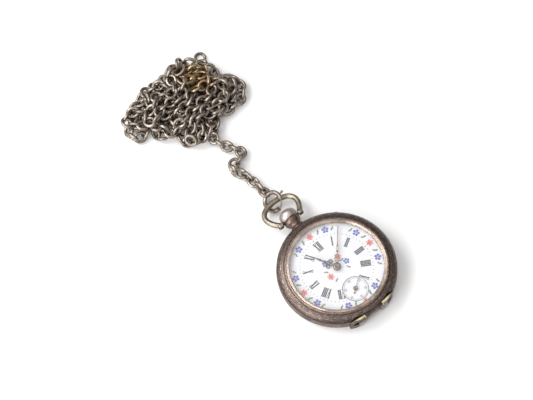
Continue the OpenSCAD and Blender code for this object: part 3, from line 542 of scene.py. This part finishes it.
def make_floor():
    """A pale matt table top, just under the object."""
    mat, tree, shader = blank_material("pale_floor")
    soft = noise(tree, place(tree), 6.0, 2.0)
    tree.links.new(ramp(tree, soft, [(0.3, (0.93, 0.93, 0.93)), (0.7, (0.95, 0.95, 0.95))]),
                   shader.inputs["Base Color"])
    shader.inputs["Roughness"].default_value = 0.8
    bpy.ops.mesh.primitive_plane_add(size=6, location=(0, 0, -0.00005))
    floor = bpy.context.object
    floor.name = "floor"
    floor.data.materials.append(mat)


def area_light(name, where, size, power):
    """A square soft light that faces the watch."""
    data = bpy.data.lights.new(name, "AREA")
    data.size = size
    data.energy = power
    light = bpy.data.objects.new(name, data)
    light.location = where
    light.rotation_mode = "QUATERNION"
    light.rotation_quaternion = (Vector((0, 0.03, 0)) - Vector(where)).to_track_quat("-Z", "Y")
    bpy.context.collection.objects.link(light)


def make_lights():
    """A soft white studio, shown without film contrast so that the table stays white."""
    bpy.context.scene.view_settings.view_transform = "Standard"
    world = bpy.data.worlds.new("studio")
    bpy.context.scene.world = world
    world.use_nodes = True
    tree = world.node_tree
    window = node(tree, "ShaderNodeVectorMath", {0: tree.nodes.new("ShaderNodeTexCoord").outputs["Generated"],
                                                 1: (-0.42, 0.05, 0.9)}, operation="DOT_PRODUCT")
    sky = ramp(tree, window.outputs["Value"], [(0.0, (0.16, 0.15, 0.15)), (0.35, (0.42, 0.41, 0.40)),
                                               (0.75, (1.0, 1.0, 1.0))])
    tree.links.new(sky, tree.nodes["Background"].inputs["Color"])
    tree.nodes["Background"].inputs["Strength"].default_value = 1.15
    area_light("key", (-0.45, 0.55, 0.85), 0.6, 6.0)
    area_light("fill", (-0.75, -0.1, 0.45), 0.5, 4.0)


# ---------- chain ----------

# Route of the loose strand, as in part.scad, but from inside the clasp's eye and 0.1 higher on the table
STRAND = np.array([
    [0, 43.4, 3.1], [0, 44.8, 2.9], [0, 46.4, 2.5], [-0.4, 49, 2.4], [-0.8, 52.4, 2.4], [-1.6, 55, 2.4],
    [-3.2, 57.2, 2.4], [-3.4, 59, 2.4], [-1.6, 60, 2.4], [1, 60, 2.4], [3.2, 60.8, 2.4], [4, 62.6, 2.4],
    [3, 64.8, 2.4], [1.4, 67, 2.4], [0, 69.6, 2.4], [-0.6, 72, 2.4], [-0.6, 74.6, 2.4],
])
# Outline of the gathered heap, as in part.scad
HEAP = np.array([
    [-9, 74.6], [3, 74.6], [6, 78.6], [12, 78], [20.5, 78.6], [23, 82], [23, 87], [20, 91], [18.5, 98],
    [12.5, 103.5], [3, 106], [-8, 106], [-14, 103.6], [-23, 103.6], [-27, 99], [-26, 93.5],
    [-18, 86.5], [-12, 83],
], float)
HEAP_CENTRE = np.array([-2.0, 92.0])


def shrunk_heap(scale):
    """The heap's outline, scaled about its middle."""
    return HEAP_CENTRE + (HEAP - HEAP_CENTRE) * scale


def resampled(path, step):
    """Points a fixed step apart along a path."""
    path = np.array(path, float)
    lengths = np.r_[0, np.cumsum(np.linalg.norm(np.diff(path, axis=0), axis=1))]
    at = np.arange(0, lengths[-1], step)
    return np.column_stack([np.interp(at, lengths, path[:, k]) for k in range(3)])


def rows_across(outline, angle, gap, z):
    """Back-and-forth rows that fill an outline, run at an angle."""
    c, s = math.cos(math.radians(angle)), math.sin(math.radians(angle))
    turn = np.array([[c, -s], [s, c]])
    flat = outline @ turn
    points = []
    levels = np.arange(flat[:, 1].min() + gap * 0.6, flat[:, 1].max() - gap * 0.4, gap)
    for k, level in enumerate(levels):
        cross = []
        for a, b in zip(flat, np.roll(flat, -1, 0)):
            if (a[1] > level) != (b[1] > level):
                cross.append(a[0] + (level - a[1]) / (b[1] - a[1]) * (b[0] - a[0]))
        ends = [min(cross) + ROW_MARGIN, max(cross) - ROW_MARGIN]
        if k % 2:
            ends.reverse()
        row = np.linspace(ends[0], ends[1], 6)
        sway = 1.5 * np.sin(row * 0.35 + 2.1 * k)
        points.extend([*(turn @ [x, level + w]), z] for x, w in zip(row, sway))
    return points


def inside(points, outline):
    """Which points lie inside an outline."""
    x, y = points[:, 0], points[:, 1]
    odd = np.zeros(len(points), bool)
    for a, b in zip(outline, np.roll(outline, -1, 0)):
        crosses = (a[1] > y) != (b[1] > y)
        edge_x = a[0] + (y - a[1]) / (b[1] - a[1] + 1e-12) * (b[0] - a[0])
        odd ^= crosses & (x < edge_x)
    return odd


def nearest_on(points, outline):
    """The nearest place on an outline to each point."""
    best, best_gap = np.zeros_like(points), np.full(len(points), 1e9)
    for a, b in zip(outline, np.roll(outline, -1, 0)):
        along = np.clip(((points - a) @ (b - a)) / ((b - a) @ (b - a)), 0, 1)
        spot = a + along[:, None] * (b - a)
        gap = np.linalg.norm(points - spot, axis=1)
        closer = gap < best_gap
        best[closer], best_gap[closer] = spot[closer], gap[closer]
    return best


def relaxed(points, held):
    """Lets the gathered chain settle: links keep their pitch, stay apart and fall on the table.

    The first held points and the last one don't move.
    """
    p = points.copy()
    count = len(p)
    one, two = np.triu_indices(count, 3)
    fixed = p[:held].copy()
    last = p[-1].copy()
    wall = shrunk_heap(0.93)
    for _ in range(SETTLING_STEPS):
        p[:, 2] -= 0.04
        for _ in range(3):
            reach = p[1:] - p[:-1]
            size = np.linalg.norm(reach, axis=1)[:, None] + 1e-9
            pull = reach * (size - PITCH) / size * 0.45
            p[:-1] += pull
            p[1:] -= pull
            skip = p[2:] - p[:-2]
            size = np.linalg.norm(skip, axis=1)[:, None] + 1e-9
            push = skip * np.minimum(size - 1.55 * PITCH, 0) / size * 0.3
            p[:-2] += push
            p[2:] -= push
            apart = p[one] - p[two]
            size = np.linalg.norm(apart, axis=1)
            near = size < LINK_GAP
            push = apart[near] * ((LINK_GAP - size[near]) / (size[near] + 1e-9) * 0.35)[:, None]
            np.add.at(p, one[near], push)
            np.add.at(p, two[near], -push)
            p[:, 2] = np.maximum(p[:, 2], LINK_W / 2 + 0.1)
            out = ~inside(p[held:], wall)
            p[held:, :2][out] += 0.6 * (nearest_on(p[held:, :2][out], wall) - p[held:, :2][out])
            p[:held] = fixed
            p[-1] = last
    return p


def chain_route():
    """Centres of all the links, from the clasp's eye, through the heap, to the end ring."""
    ring = (span("end_ring")[0] + span("end_ring")[1]) / 2
    strand = resampled(STRAND, PITCH)
    layers = [
        *rows_across(HEAP, 62, 4.4, 2.4),
        *rows_across(shrunk_heap(0.9), 140, 4.5, 5.6),
        *rows_across(shrunk_heap(0.75), 15, 4.6, 8.4),
    ]
    tail_links = 8
    path = resampled(np.array([STRAND[-1] + [0, 0.5, 0], *layers]), PITCH)
    path = path[:int(CHAIN_LEN / PITCH) - len(strand) - tail_links]
    end = ring + np.array([-2.0, -3.0, 1.8])
    tail = np.linspace(path[-1], end, tail_links + 1)[1:]
    return relaxed(np.vstack([strand, path, tail]), len(strand)), len(strand)


def oval_link(centre, ahead, roll, around=20, sides=10):
    """One oval link whose long axis points ahead, rolled about it."""
    side = np.cross([0.0, 0.0, 1.0], ahead)
    side /= np.linalg.norm(side) + 1e-9
    up = np.cross(ahead, side)
    wide = math.cos(roll) * side + math.sin(roll) * up
    normal = np.cross(ahead, wide)
    half_l, half_w = LINK_LEN / 2 - LINK_WIRE, LINK_W / 2 - LINK_WIRE
    verts = []
    for k in range(around):
        a = 2 * math.pi * k / around
        spot = centre + half_l * math.cos(a) * ahead + half_w * math.sin(a) * wide
        out = half_w * math.cos(a) * ahead + half_l * math.sin(a) * wide
        out /= np.linalg.norm(out)
        for s in range(sides):
            b = 2 * math.pi * s / sides
            verts.append(spot + LINK_WIRE * (math.cos(b) * out + math.sin(b) * normal))
    return verts, quads(around, sides, flip=True)


def make_chain():
    """Every link of the chain as one mesh, with the end ring at its far end."""
    centres, in_strand = chain_route()
    ahead = np.gradient(centres, axis=0)
    ahead /= np.linalg.norm(ahead, axis=1)[:, None]
    random = np.random.default_rng(7)
    links = []
    twist = 0.0
    for k, (centre, direction) in enumerate(zip(centres, ahead)):
        twist += random.normal(0.0, 0.08 if k < in_strand else 0.22)
        roll = 0.25 + twist + (k % 2) * math.pi / 2 + random.normal(0.0, 0.10)
        links.append(oval_link(centre, direction, roll))
    chain = piece("chain", *joined(links), CHAIN, "chain", "nickel")
    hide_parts("chain_strand", "chain_heap")
    ring = make_end_ring()


def make_end_ring():
    """The plain ring at the chain's far end, as large as its CAD node."""
    low, high = span("end_ring")
    wire = (high[2] - low[2]) / 2
    centre = (low + high) / 2
    radius = (high[0] - low[0]) / 2 - wire
    loop = [centre + p for p in arc((0, 0), radius, 0, 352.5, 48)]
    ring = piece("last_ring", *swept(loop, wire, 16, True), CHAIN, "chain", "nickel")
    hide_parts("end_ring")
    return ring


# ---------- clasp ----------

def in_ring(points):
    """Puts points drawn in the bolt ring's own plane where the ring lies, over the bow."""
    centre = BOW_PIVOT + [0, BOW_LEN * math.cos(BOW_DROOP) + 0.3, -BOW_LEN * math.sin(BOW_DROOP)]
    c, s = math.cos(RING_TILT), math.sin(RING_TILT)
    return [centre + [p[0] * c - p[2] * s, p[1], p[0] * s + p[2] * c] for p in points]


def make_clasp():
    """Bolt ring: open tube with a bead at each end, the eye, and the sliding bolt with its knob."""
    path = in_ring(arc((0, 0), RING_R, -27, 270, 80))
    radii = np.full(len(path), RING_WIRE)
    radii[[0, 1, -2, -1]] = RING_WIRE * 1.12
    eye_r, eye_wire = 0.95, 0.3
    eye_centre = np.array([0, RING_R + RING_WIRE + 0.8, 0])
    eye = in_ring([eye_centre + [0, eye_r * math.cos(a), eye_r * math.sin(a)]
                   for a in np.linspace(0, 2 * math.pi, 32, endpoint=False)])
    ring = piece("clasp_ring", *joined([swept(path, radii, 20), swept(eye, eye_wire, 12, True)]),
                 CHAIN, "chain", "nickel")
    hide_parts("bolt_ring")
    bolt_path = in_ring(arc((0, 0), RING_R, -96, 40, 48))
    stub = in_ring([np.array([RING_R + d, 0, 0]) for d in (0.0, 0.7, 1.2, 1.5, 1.8, 2.1, 2.35, 2.5)])
    stub_radii = [0.24, 0.24, 0.26, 0.42, 0.52, 0.52, 0.38, 0.1]
    bolt = piece("clasp_bolt", *joined([swept(bolt_path, BOLT_R, 14), swept(stub, stub_radii, 16)]),
                 MATERIALS["nickel"], "bolt", "nickel")
    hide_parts("bolt")


# ---------- bow and crown ----------

def bow_line():
    """The bow's centre line, from one lug over the top to the other: three arcs on each side."""
    top_centre = np.array([0, BOW_LEN - BOW_TOP_R])
    to_join = np.array([math.sin(math.radians(24)), math.cos(math.radians(24))])
    join = top_centre + BOW_TOP_R * to_join
    corner = (BOW_HALF_W - join[0]) / (1 - to_join[0])
    corner_c = join - corner * to_join
    to_leg = np.array([math.cos(math.radians(-12)), math.sin(math.radians(-12))])
    leg_c = corner_c - (BOW_LEG_R - corner) * to_leg
    half = [*arc(leg_c, BOW_LEG_R, -46, -12, 14)[:-1], *arc(corner_c, corner, -12, 66, 22)[:-1],
            *arc(top_centre, BOW_TOP_R, 66, 90, 10)]
    return half + [np.array([-p[0], p[1], 0]) for p in half[-2::-1]]


def drooped(points):
    """Puts points drawn in the bow's own plane where the bow lies."""
    c, s = math.cos(BOW_DROOP), math.sin(BOW_DROOP)
    return [BOW_PIVOT + [p[0], p[1] * c + p[2] * s, -p[1] * s + p[2] * c] for p in points]


def make_bow():
    """The bow with a stepped lug at each end, and its two screw heads."""
    line = bow_line()
    parts = [swept(drooped(line), BOW_R, 24)]
    tip = line[0][0]
    heads = []
    for side in (-1, 1):
        reach = (3.85, 3.95, 4.2, tip + 0.5, tip + 0.8, tip + 0.92)
        lug = drooped([np.array([side * x, 0, 0]) for x in reach])
        parts.append(swept(lug, [0.95, 1.12, 1.18, 1.18, 1.08, 0.85], 28))
        head = drooped([np.array([side * (tip + x), 0, 0]) for x in (0.7, 1.0, 1.08)])
        heads.append(swept(head, [0.72, 0.72, 0.5], 20))
    bow = piece("bow_wire", *joined(parts), MATERIALS["nickel"], "bow", "nickel")
    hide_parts("bow")
    piece("lug_screw_heads", *joined(heads), MATERIALS["dark_steel"], "bow", "nickel")


def make_crown():
    """A worn onion crown, nearly smooth, with the last of its ribs."""
    low, high = span("crown")
    middle = (low[1] + high[1]) / 2 - 0.3
    half = (high[1] - low[1]) / 2
    radius = (high[0] - low[0]) / 2 + 0.15
    rows = []
    for a in np.radians(np.linspace(-90, 90, 40)):
        rows.append((max(radius * abs(math.cos(a * 0.985)) ** 0.72, 0.02), middle + half * math.sin(a)))
    verts, faces = lathe(rows, 144, closed=False)
    ribbed = []
    for v in verts:
        angle = math.atan2(v[1], v[0])
        fade = max(0.0, 1 - abs(v[2] - middle) / (half * 0.8))
        swell = 1 + 0.006 * fade * math.cos(24 * angle)
        ribbed.append(v * [swell, swell, 1])
    crown = piece("crown_onion", along_stem(ribbed), faces, MATERIALS["silver"], "winding", "silver")
    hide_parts("crown")


def make_pendant():
    """The pendant's coppery neck and collar, between the case and the crown."""
    neck = [(1.2, 22.6), (3.7, 22.6), (3.1, 23.3), (2.4, 24.1), (2.45, 24.8), (3.0, 25.4), (3.35, 26.0),
            (3.42, 26.6), (3.35, 27.6), (3.1, 27.7), (2.6, 27.1), (1.2, 26.4)]
    verts, faces = lathe(neck, 72)
    pendant = piece("pendant_neck", along_stem(verts), faces, MATERIALS["copper"], "case", "copper")
    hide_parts("pendant")


# ---------- bezel ----------

def bezel_profile():
    """The bezel's section, outside first, over the crest and the bright lip, and back underneath."""
    outer = [(22.85, BEZEL_LOW), (23.0, 7.95), (23.02, 8.3), (22.85, 8.7), (22.75, 8.78), (22.62, 8.98),
             (22.2, 9.45), (21.6, 9.86), (20.95, 10.18), (20.35, 10.42), (20.15, 10.4), (20.05, 10.52),
             (19.75, 10.72), (19.45, 10.78), (19.2, 10.76)]
    lip = [(19.05, 10.86), (18.7, 10.88), (18.35, 10.80), (18.1, 10.68), (17.96, 10.5), (17.96, 10.36)]
    under = [(18.5, 10.35), (18.5, 9.9), (17.96, 9.88), (17.96, 9.52), (19.25, 9.1), (19.25, BEZEL_LOW)]
    return outer, lip, under


def refined(points, step=0.12):
    """More points along a section, so that waves can be cut into it."""
    fine = [points[0]]
    for a, b in zip(points, points[1:]):
        count = max(1, int(math.dist(a, b) / step))
        fine.extend([(a[0] + (b[0] - a[0]) * k / count, a[1] + (b[1] - a[1]) * k / count)
                     for k in range(1, count + 1)])
    return fine


def make_bezel():
    """The engraved rim with its bright lip, cut back flat at the hinge."""
    outer, lip, under = bezel_profile()
    section = refined(outer) + refined(lip)[1:] + under
    verts, faces = lathe(section, 720)
    shaped = []
    for v in verts:
        radius, angle = math.hypot(v[0], v[1]), math.atan2(v[1], v[0])
        lift = rope(radius, angle) + foliage(radius, angle)
        v = v + [0, 0, lift if v[2] > CARVED_LOW_Z and radius > CARVED_INNER_R else 0]
        if v[1] < CHORD_Y and v[2] < CHORD_TOP_Z:
            v[1] = CHORD_Y
        shaped.append(v)
    bezel = piece("bezel_ring", shaped, faces, ENGRAVED, "bezel", "dark_silver")
    bezel.data.materials.append(BRIGHT_LIP)
    for face in bezel.data.polygons:
        if math.hypot(face.center.x, face.center.y) < LIP_R * MM:
            face.material_index = 1
    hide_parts("bezel")


def make_knuckle():
    """The bezel's middle knuckle, with the plate that carries it."""
    end, groove = KNUCKLE_HALF_W - 0.08, 1.3
    stations = (-KNUCKLE_HALF_W, -end, -groove - 0.05, -groove, groove, groove + 0.05, end, KNUCKLE_HALF_W)
    barrel = [np.array([x, HINGE_Y, KNUCKLE_Z]) for x in stations]
    tube = swept(barrel, [KNUCKLE_R - 0.14, *[KNUCKLE_R - 0.04] * 6, KNUCKLE_R - 0.14], 28)
    side, inner = KNUCKLE_HALF_W - 0.01, CHORD_Y + 0.3
    plate = slab([(-side, HINGE_Y), (side, HINGE_Y), (side, inner), (-side, inner)], 7.66, 8.4)
    piece("bezel_knuckle", *joined([tube, plate]), MATERIALS["dark_silver"], "bezel", "dark_silver")


def make_thumb_lip():
    """The small tab that a thumbnail lifts the bezel by."""
    tab = slab([(-1.2, 22.5), (-0.8, 23.35), (0.8, 23.35), (1.2, 22.5)], BEZEL_LOW + 0.1, BEZEL_LOW + 0.7)
    piece("thumb_lip", *spun(tab, THUMB_LIP_ANGLE), MATERIALS["dark_silver"], "bezel", "dark_silver")


def make_hinge_caps():
    """The gilt that still shows on the two end knuckles of the bezel's hinge."""
    across, along = 14, 24
    for side, name in ((-1, "left"), (1, "right")):
        verts = []
        for x in np.linspace(CAP_INNER_X, CAP_OUTER_X, along):
            rim = -math.sqrt(CAP_R ** 2 - x ** 2)
            low = max(rim, HINGE_Y - KNUCKLE_R)
            for y in np.linspace(low, CHORD_Y - 0.02, across):
                rise = math.sqrt(max(KNUCKLE_R ** 2 - (y - HINGE_Y) ** 2, 0.0))
                verts.append((side * x, y, KNUCKLE_Z + rise))
        faces = [face[::side] for face in quads(along, across, False, False)]
        piece("hinge_cap_" + name, verts, faces, HINGE_GILT, "case", "brass")


def rope(radius, angle):
    """Twisted rope line on the crest of the bezel."""
    near = max(0.0, 1 - abs(radius - ROPE_R) / ROPE_HALF_W)
    return 0.05 * near * math.cos(210 * angle + 9 * (radius - ROPE_R))


def foliage(radius, angle):
    """A running vine with leaves on either side, cut in low relief on the sloping face."""
    across = (radius - VINE_R) / VINE_HALF_W
    if abs(across) > 1:
        return 0.0
    turn = 22 * angle
    stem = math.exp(-((across - 0.55 * math.sin(turn)) / 0.16) ** 2)
    leaf = math.exp(-((across + 0.45 * math.sin(turn)) / 0.42) ** 2)
    leaf *= abs(math.cos(5 * turn)) * abs(math.sin(turn))
    return 0.025 * (1 - across ** 4) * (max(stem, leaf) - 0.5)


# ---------- dial ----------

class Brush:
    """Collects flat painted shapes of one colour on the dial."""

    def __init__(self, name, material, z=DIAL_TOP + PAINT_LIFT):
        self.name, self.material, self.z = name, material, z
        self.verts, self.faces = [], []

    def shape(self, outline):
        """Any closed outline."""
        base = len(self.verts)
        self.verts.extend([(p[0], p[1], self.z) for p in outline])
        self.faces.append(tuple(range(base, base + len(outline))))

    def dot(self, at, radius):
        """A round dab."""
        self.shape(ellipse(at, radius, radius, 14))

    def petal(self, at, angle, length, width):
        """A leaf-shaped stroke that points outwards from at."""
        c, s = math.cos(math.radians(angle)), math.sin(math.radians(angle))
        drop = [(0, 0), (0.5, 0.3), (0.42, 0.62), (0, 1), (-0.42, 0.62), (-0.5, 0.3)]
        self.shape([(at[0] + x * width * c + y * length * s, at[1] - x * width * s + y * length * c)
                    for x, y in drop[::-1]])

    def line(self, start, end, width, clear=None):
        """A straight stroke in short lengths, left out where it would run into the seconds dial."""
        start, end = np.array(start), np.array(end)
        along = (end - start) / np.linalg.norm(end - start)
        side = np.array([along[1], -along[0]]) * width / 2
        cells = 10 if clear else 1
        for k in range(cells):
            a, b = start + (end - start) * k / cells, start + (end - start) * (k + 1) / cells
            if clear and np.linalg.norm((a + b) / 2 - SECONDS_AT) < clear:
                continue
            self.shape([a - side, a + side, b + side, b - side])

    def finish(self):
        """Makes the piece, with every shape facing up."""
        outward = [f if self.up(f) else f[::-1] for f in self.faces]
        return piece(self.name, self.verts, outward, self.material, "case", "enamel", smooth=False)

    def up(self, face):
        """Whether a shape's points run anticlockwise, seen from above."""
        p = np.array([self.verts[i][:2] for i in face])
        q = np.roll(p, -1, 0)
        return (p[:, 0] * q[:, 1] - q[:, 0] * p[:, 1]).sum() > 0


# There is no VI: the seconds dial takes its place.
NUMERALS = {1: "I", 2: "II", 3: "III", 4: "IIII", 5: "V", 7: "VII", 8: "VIII", 9: "IX", 10: "X",
            11: "XI", 12: "XII"}
GLYPH_WIDTH = {"I": 0.64, "V": 1.35, "X": 1.35}
# Widths of the strokes; UPRIGHT is the I's.
THICK, THIN, SERIF, UPRIGHT = 0.55, 0.2, 0.14, 0.54


def numeral(brush, hour):
    """A Roman numeral whose foot points at the centre."""
    text = NUMERALS[hour]
    width = sum(GLYPH_WIDTH[c] for c in text)
    x = -width / 2

    def put(x0, y0, x1, y1, w):
        a, b = spun_points([(x0, y0, 0), (x1, y1, 0)], hour * 30)
        brush.line(a[:2], b[:2], w, SECONDS_R + 0.25)

    for glyph in text:
        wide = GLYPH_WIDTH[glyph]
        left, right, middle = x + 0.14, x + wide - 0.14, x + wide / 2
        if glyph == "I":
            put(middle, NUMERAL_LOW, middle, NUMERAL_HIGH, UPRIGHT)
        elif glyph == "V":
            put(left + 0.16, NUMERAL_HIGH, middle, NUMERAL_LOW, THICK)
            put(right - 0.06, NUMERAL_HIGH, middle, NUMERAL_LOW, THIN)
        else:
            put(left + 0.16, NUMERAL_HIGH, right - 0.16, NUMERAL_LOW, THICK)
            put(right - 0.06, NUMERAL_HIGH, left + 0.06, NUMERAL_LOW, THIN)
        for y in (NUMERAL_LOW, NUMERAL_HIGH):
            put(x + 0.03, y, x + wide - 0.03, y, SERIF)
        x += wide


def blue_flower(blue, red, angle, radius, size):
    """Five round blue petals about a red eye."""
    centre = turned(angle, radius)
    for k in range(5):
        heading = 72 * k + angle
        blue.dot(turned(heading, 0.82 * size, centre), 0.46 * size)
        blue.petal(turned(heading, 0.2 * size, centre), heading, 0.5 * size, 0.3 * size)
    red.dot(centre, 0.2 * size)


def red_flower(red, pink, angle, radius, size):
    """Six pink petals under four darker red strokes."""
    centre = turned(angle, radius)
    for k in range(6):
        heading = 60 * k + angle
        pink.petal(turned(heading, 0.25 * size, centre), heading, 1.1 * size, 0.86 * size)
    for k in range(4):
        heading = 90 * k + angle + 15
        red.petal(turned(heading + 15, 0.15 * size, centre), heading, 0.85 * size, 0.42 * size)
    red.dot(centre, 0.3 * size)


def leaves(green, angle, radius, size):
    """A sprig of three leaves."""
    at = turned(angle, radius)
    green.petal(at, angle + 35, 1.0 * size, 0.62 * size)
    green.petal(at, angle + 200, 0.95 * size, 0.60 * size)
    green.petal(at, angle + 110, 0.6 * size, 0.4 * size)


# Strokes of the seconds figures, on a grid one wide and two high
DIGITS = {
    "0": [(0, 0), (1, 0), (1, 2), (0, 2), (0, 0)], "1": [(0.5, 0), (0.5, 2)],
    "2": [(0, 2), (1, 2), (1, 1), (0, 1), (0, 0), (1, 0)], "3": [(0, 2), (1, 2), (1, 0), (0, 0)],
    "4": [(0, 2), (0, 1), (1, 1), (1, 2), (1, 0)], "5": [(1, 2), (0, 2), (0, 1), (1, 1), (1, 0), (0, 0)],
    "6": [(1, 2), (0, 2), (0, 0), (1, 0), (1, 1), (0, 1)],
}


def make_seconds_track():
    """The small seconds dial: a double ring, ticks, and a number at every ten seconds."""
    ink = Brush("seconds_track", GREY, SECONDS_Z + PAINT_LIFT)
    rim = Brush("seconds_ring", GREY)
    track_r, tick_r, rim_r = SECONDS_R - 0.6, SECONDS_R - 0.2, SECONDS_R + 0.1
    for k in range(60):
        here, ahead = 6 * k, 6 * k + 6
        ink.line(turned(here, track_r, SECONDS_AT), turned(ahead, track_r, SECONDS_AT), 0.07)
        rim.line(turned(here, rim_r, SECONDS_AT), turned(ahead, rim_r, SECONDS_AT), 0.28)
        ink.line(turned(here, track_r, SECONDS_AT), turned(here, tick_r, SECONDS_AT),
                 0.16 if k % 5 == 0 else 0.07)
    for tens in range(1, 7):
        for column, digit in enumerate(f"{tens}0"):
            corners = [(0.42 * x + 0.58 * column - 0.5, 3.35 + 0.42 * y, 0) for x, y in DIGITS[digit]]
            corners = spun_points(corners, tens * 60, SECONDS_AT)
            for a, b in zip(corners, corners[1:]):
                ink.line(a[:2], b[:2], 0.13)
    ink.finish()
    rim.finish()


def minute_track(black, gold):
    """A gold dot for each minute, but a black dot at the fives and a black leaf at the quarters."""
    for minute in range(60):
        at = turned(minute * 6, MINUTE_TRACK_R)
        if np.linalg.norm(at - SECONDS_AT) < SECONDS_R + 0.3:
            continue
        if minute % 15 == 0:
            black.petal(turned(minute * 6, MINUTE_TRACK_R - 0.3), minute * 6, 0.6, 0.5)
        elif minute % 5 == 0:
            black.dot(at, 0.17)
        else:
            gold.dot(at, 0.2)


def make_dial_art():
    """Everything painted on the enamel: hours, minutes, two rings of flowers, and the seconds dial."""
    black, gold = Brush("dial_numerals", BLACK), Brush("minute_dots", GOLD_DOT)
    blue, red = Brush("blue_flowers", BLUE), Brush("red_petals", RED, DIAL_TOP + 0.02)
    pink, green = Brush("pink_petals", PINK), Brush("leaves", GREEN)
    for hour in NUMERALS:
        numeral(black, hour)
    minute_track(black, gold)
    for quarter in range(0, 360, 90):
        far, size = (17.2, 0.8) if quarter == 180 else (16.2, 1.2)
        red_flower(red, pink, quarter, far, size)
        for side in (-1, 1):
            leaves(green, quarter + side * 12.5, 16.3, 1.25)
            blue_flower(blue, red, quarter + side * 23.5, 16.2, 1.12)
            leaves(green, quarter + side * 32.5, 16.4, 1.15)
    red_flower(red, pink, 43, 4.6, 1.15)
    red_flower(red, pink, 250, 4.4, 1.2)
    blue_flower(blue, red, 92, 4.6, 1.0)
    blue_flower(blue, red, 326, 4.6, 1.0)
    for angle, radius in ((67, 3.8), (122, 4.5), (218, 5.1), (282, 4.5)):
        leaves(green, angle, radius, 1.05)
    for brush in (black, gold, blue, red, pink, green):
        brush.finish()
    make_seconds_track()


# ---------- hands ----------

def diamond(at, length, width, low, high):
    """A lozenge centred on the hand's axis."""
    return slab([(0, at - length), (width, at), (0, at + length), (-width, at)][::-1], low, high)


def bar(y0, y1, w0, w1, low, high):
    """A tapering bar along the hand's axis; w0 and w1 are half widths."""
    return slab([(w0, y0), (w1, y1), (-w1, y1), (-w0, y0)], low, high)


def scroll(at_x, at_y, turn, low, high):
    """A small open C scroll beside the hand's axis."""
    angles = np.radians(np.linspace(-200, 70, 22))
    middle = (low + high) / 2
    path = [np.array([turn * (at_x + 0.36 * math.cos(a)), at_y + 0.44 * math.sin(a), middle])
            for a in angles]
    return swept(path, (high - low) / 2, 8)


def make_minute_hand():
    """Pierced gilt hand of rings, scrolls and bars, with two dark lozenges on it."""
    low, high = span("minute_hand")[0][2], span("minute_hand")[1][2]
    minute = [
        eyelet((0, 0), 1.25, 1.25, 0.5, low, high),
        bar(1.1, 1.9, 0.24, 0.16, low, high),
        eyelet((0, 3.4), 0.95, 1.75, 0.3, low, high, 28),
        scroll(0.42, 3.0, 1, low, high),
        scroll(0.42, 3.0, -1, low, high),
        bar(5.0, 6.0, 0.12, 0.12, low, high),
        eyelet((0, 7.6), 0.46, 0.92, 0.17, low, high),
        bar(8.4, 17.1, 0.2, 0.12, low, high),
    ]
    gilt = piece("minute_hand_gilt", *spun(joined(minute), MINUTE_HAND_ANGLE), HAND_GILT, "minute", "brass")
    studs = [diamond(6.3, 0.55, 0.55, low, high + 0.02), diamond(8.7, 0.5, 0.36, low, high + 0.02)]
    piece("minute_hand_studs", *spun(joined(studs), MINUTE_HAND_ANGLE), HAND_DARK, "minute", "brass")
    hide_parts("minute_hand")


def make_hour_hand():
    """Shorter dark hand with a trefoil of rings."""
    low, high = span("hour_hand")[0][2], span("hour_hand")[1][2]
    hour = [
        eyelet((0, 0), 1.45, 1.45, 0.5, low, high),
        bar(1.3, 2.2, 0.3, 0.22, low, high),
        eyelet((0, 4.0), 0.8, 1.15, 0.4, low, high),
        eyelet((1.2, 3.2), 0.82, 0.9, 0.38, low, high),
        eyelet((-1.2, 3.2), 0.82, 0.9, 0.38, low, high),
        eyelet((0, 2.5), 0.62, 0.62, 0.24, low, high),
        diamond(5.3, 0.75, 0.6, low, high),
        bar(5.6, 6.9, 0.24, 0.2, low, high),
        slab(ellipse((0, 7.0), 0.42, 0.48), low, high),
        slab(ellipse((0, 8.0), 0.33, 0.4), low, high),
        bar(7.2, 9.9, 0.22, 0.12, low, high),
    ]
    dark = piece("hour_hand_dark", *spun(joined(hour), HOUR_HAND_ANGLE), HAND_DARK, "hour", "brass")
    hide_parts("hour_hand")


def make_boss():
    """The domed stud that holds the hands, hollow at its middle."""
    low, high = span("hand_boss")[0][2], span("hand_boss")[1][2]
    rows = [(1.56, low), (1.6, low + 0.1), (1.55, low + 0.2), (1.35, low + 0.36), (1.02, low + 0.5),
            (0.8, high), (0.66, high - 0.02), (0.55, high - 0.12), (0.3, high - 0.2), (0.02, high - 0.22)]
    boss = piece("boss", *lathe(rows, 64, closed=False), BOSS_BRASS, "minute", "brass")
    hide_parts("hand_boss")


def make_seconds_hand():
    """The small seconds hand, with a balancing tail."""
    low, high = span("seconds_hand")[0][2], span("seconds_hand")[1][2]
    parts = [
        eyelet((0, 0), 0.95, 0.95, 0.42, low, high + 0.1),
        slab(ellipse((0, 0), 0.34, 0.34), low, high + 0.16),
        bar(0.8, 4.8, 0.1, 0.05, low, high),
        bar(-1.7, -0.8, 0.1, 0.12, low, high),
        slab(ellipse((0, -1.9), 0.36, 0.36), low, high),
    ]
    hand = piece("seconds_hand_gilt", *spun(joined(parts), SECONDS_HAND_ANGLE, SECONDS_AT), HAND_GILT,
                 "seconds", "brass")
    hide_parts("seconds_hand")


# ---------- build ----------

make_camera()
make_chain()
make_floor()
make_lights()
dress_cad()
make_clasp()
make_bow()
make_crown()
make_pendant()
make_bezel()
make_knuckle()
make_thumb_lip()
make_hinge_caps()
make_dial_art()
make_minute_hand()
make_hour_hand()
make_boss()
make_seconds_hand()
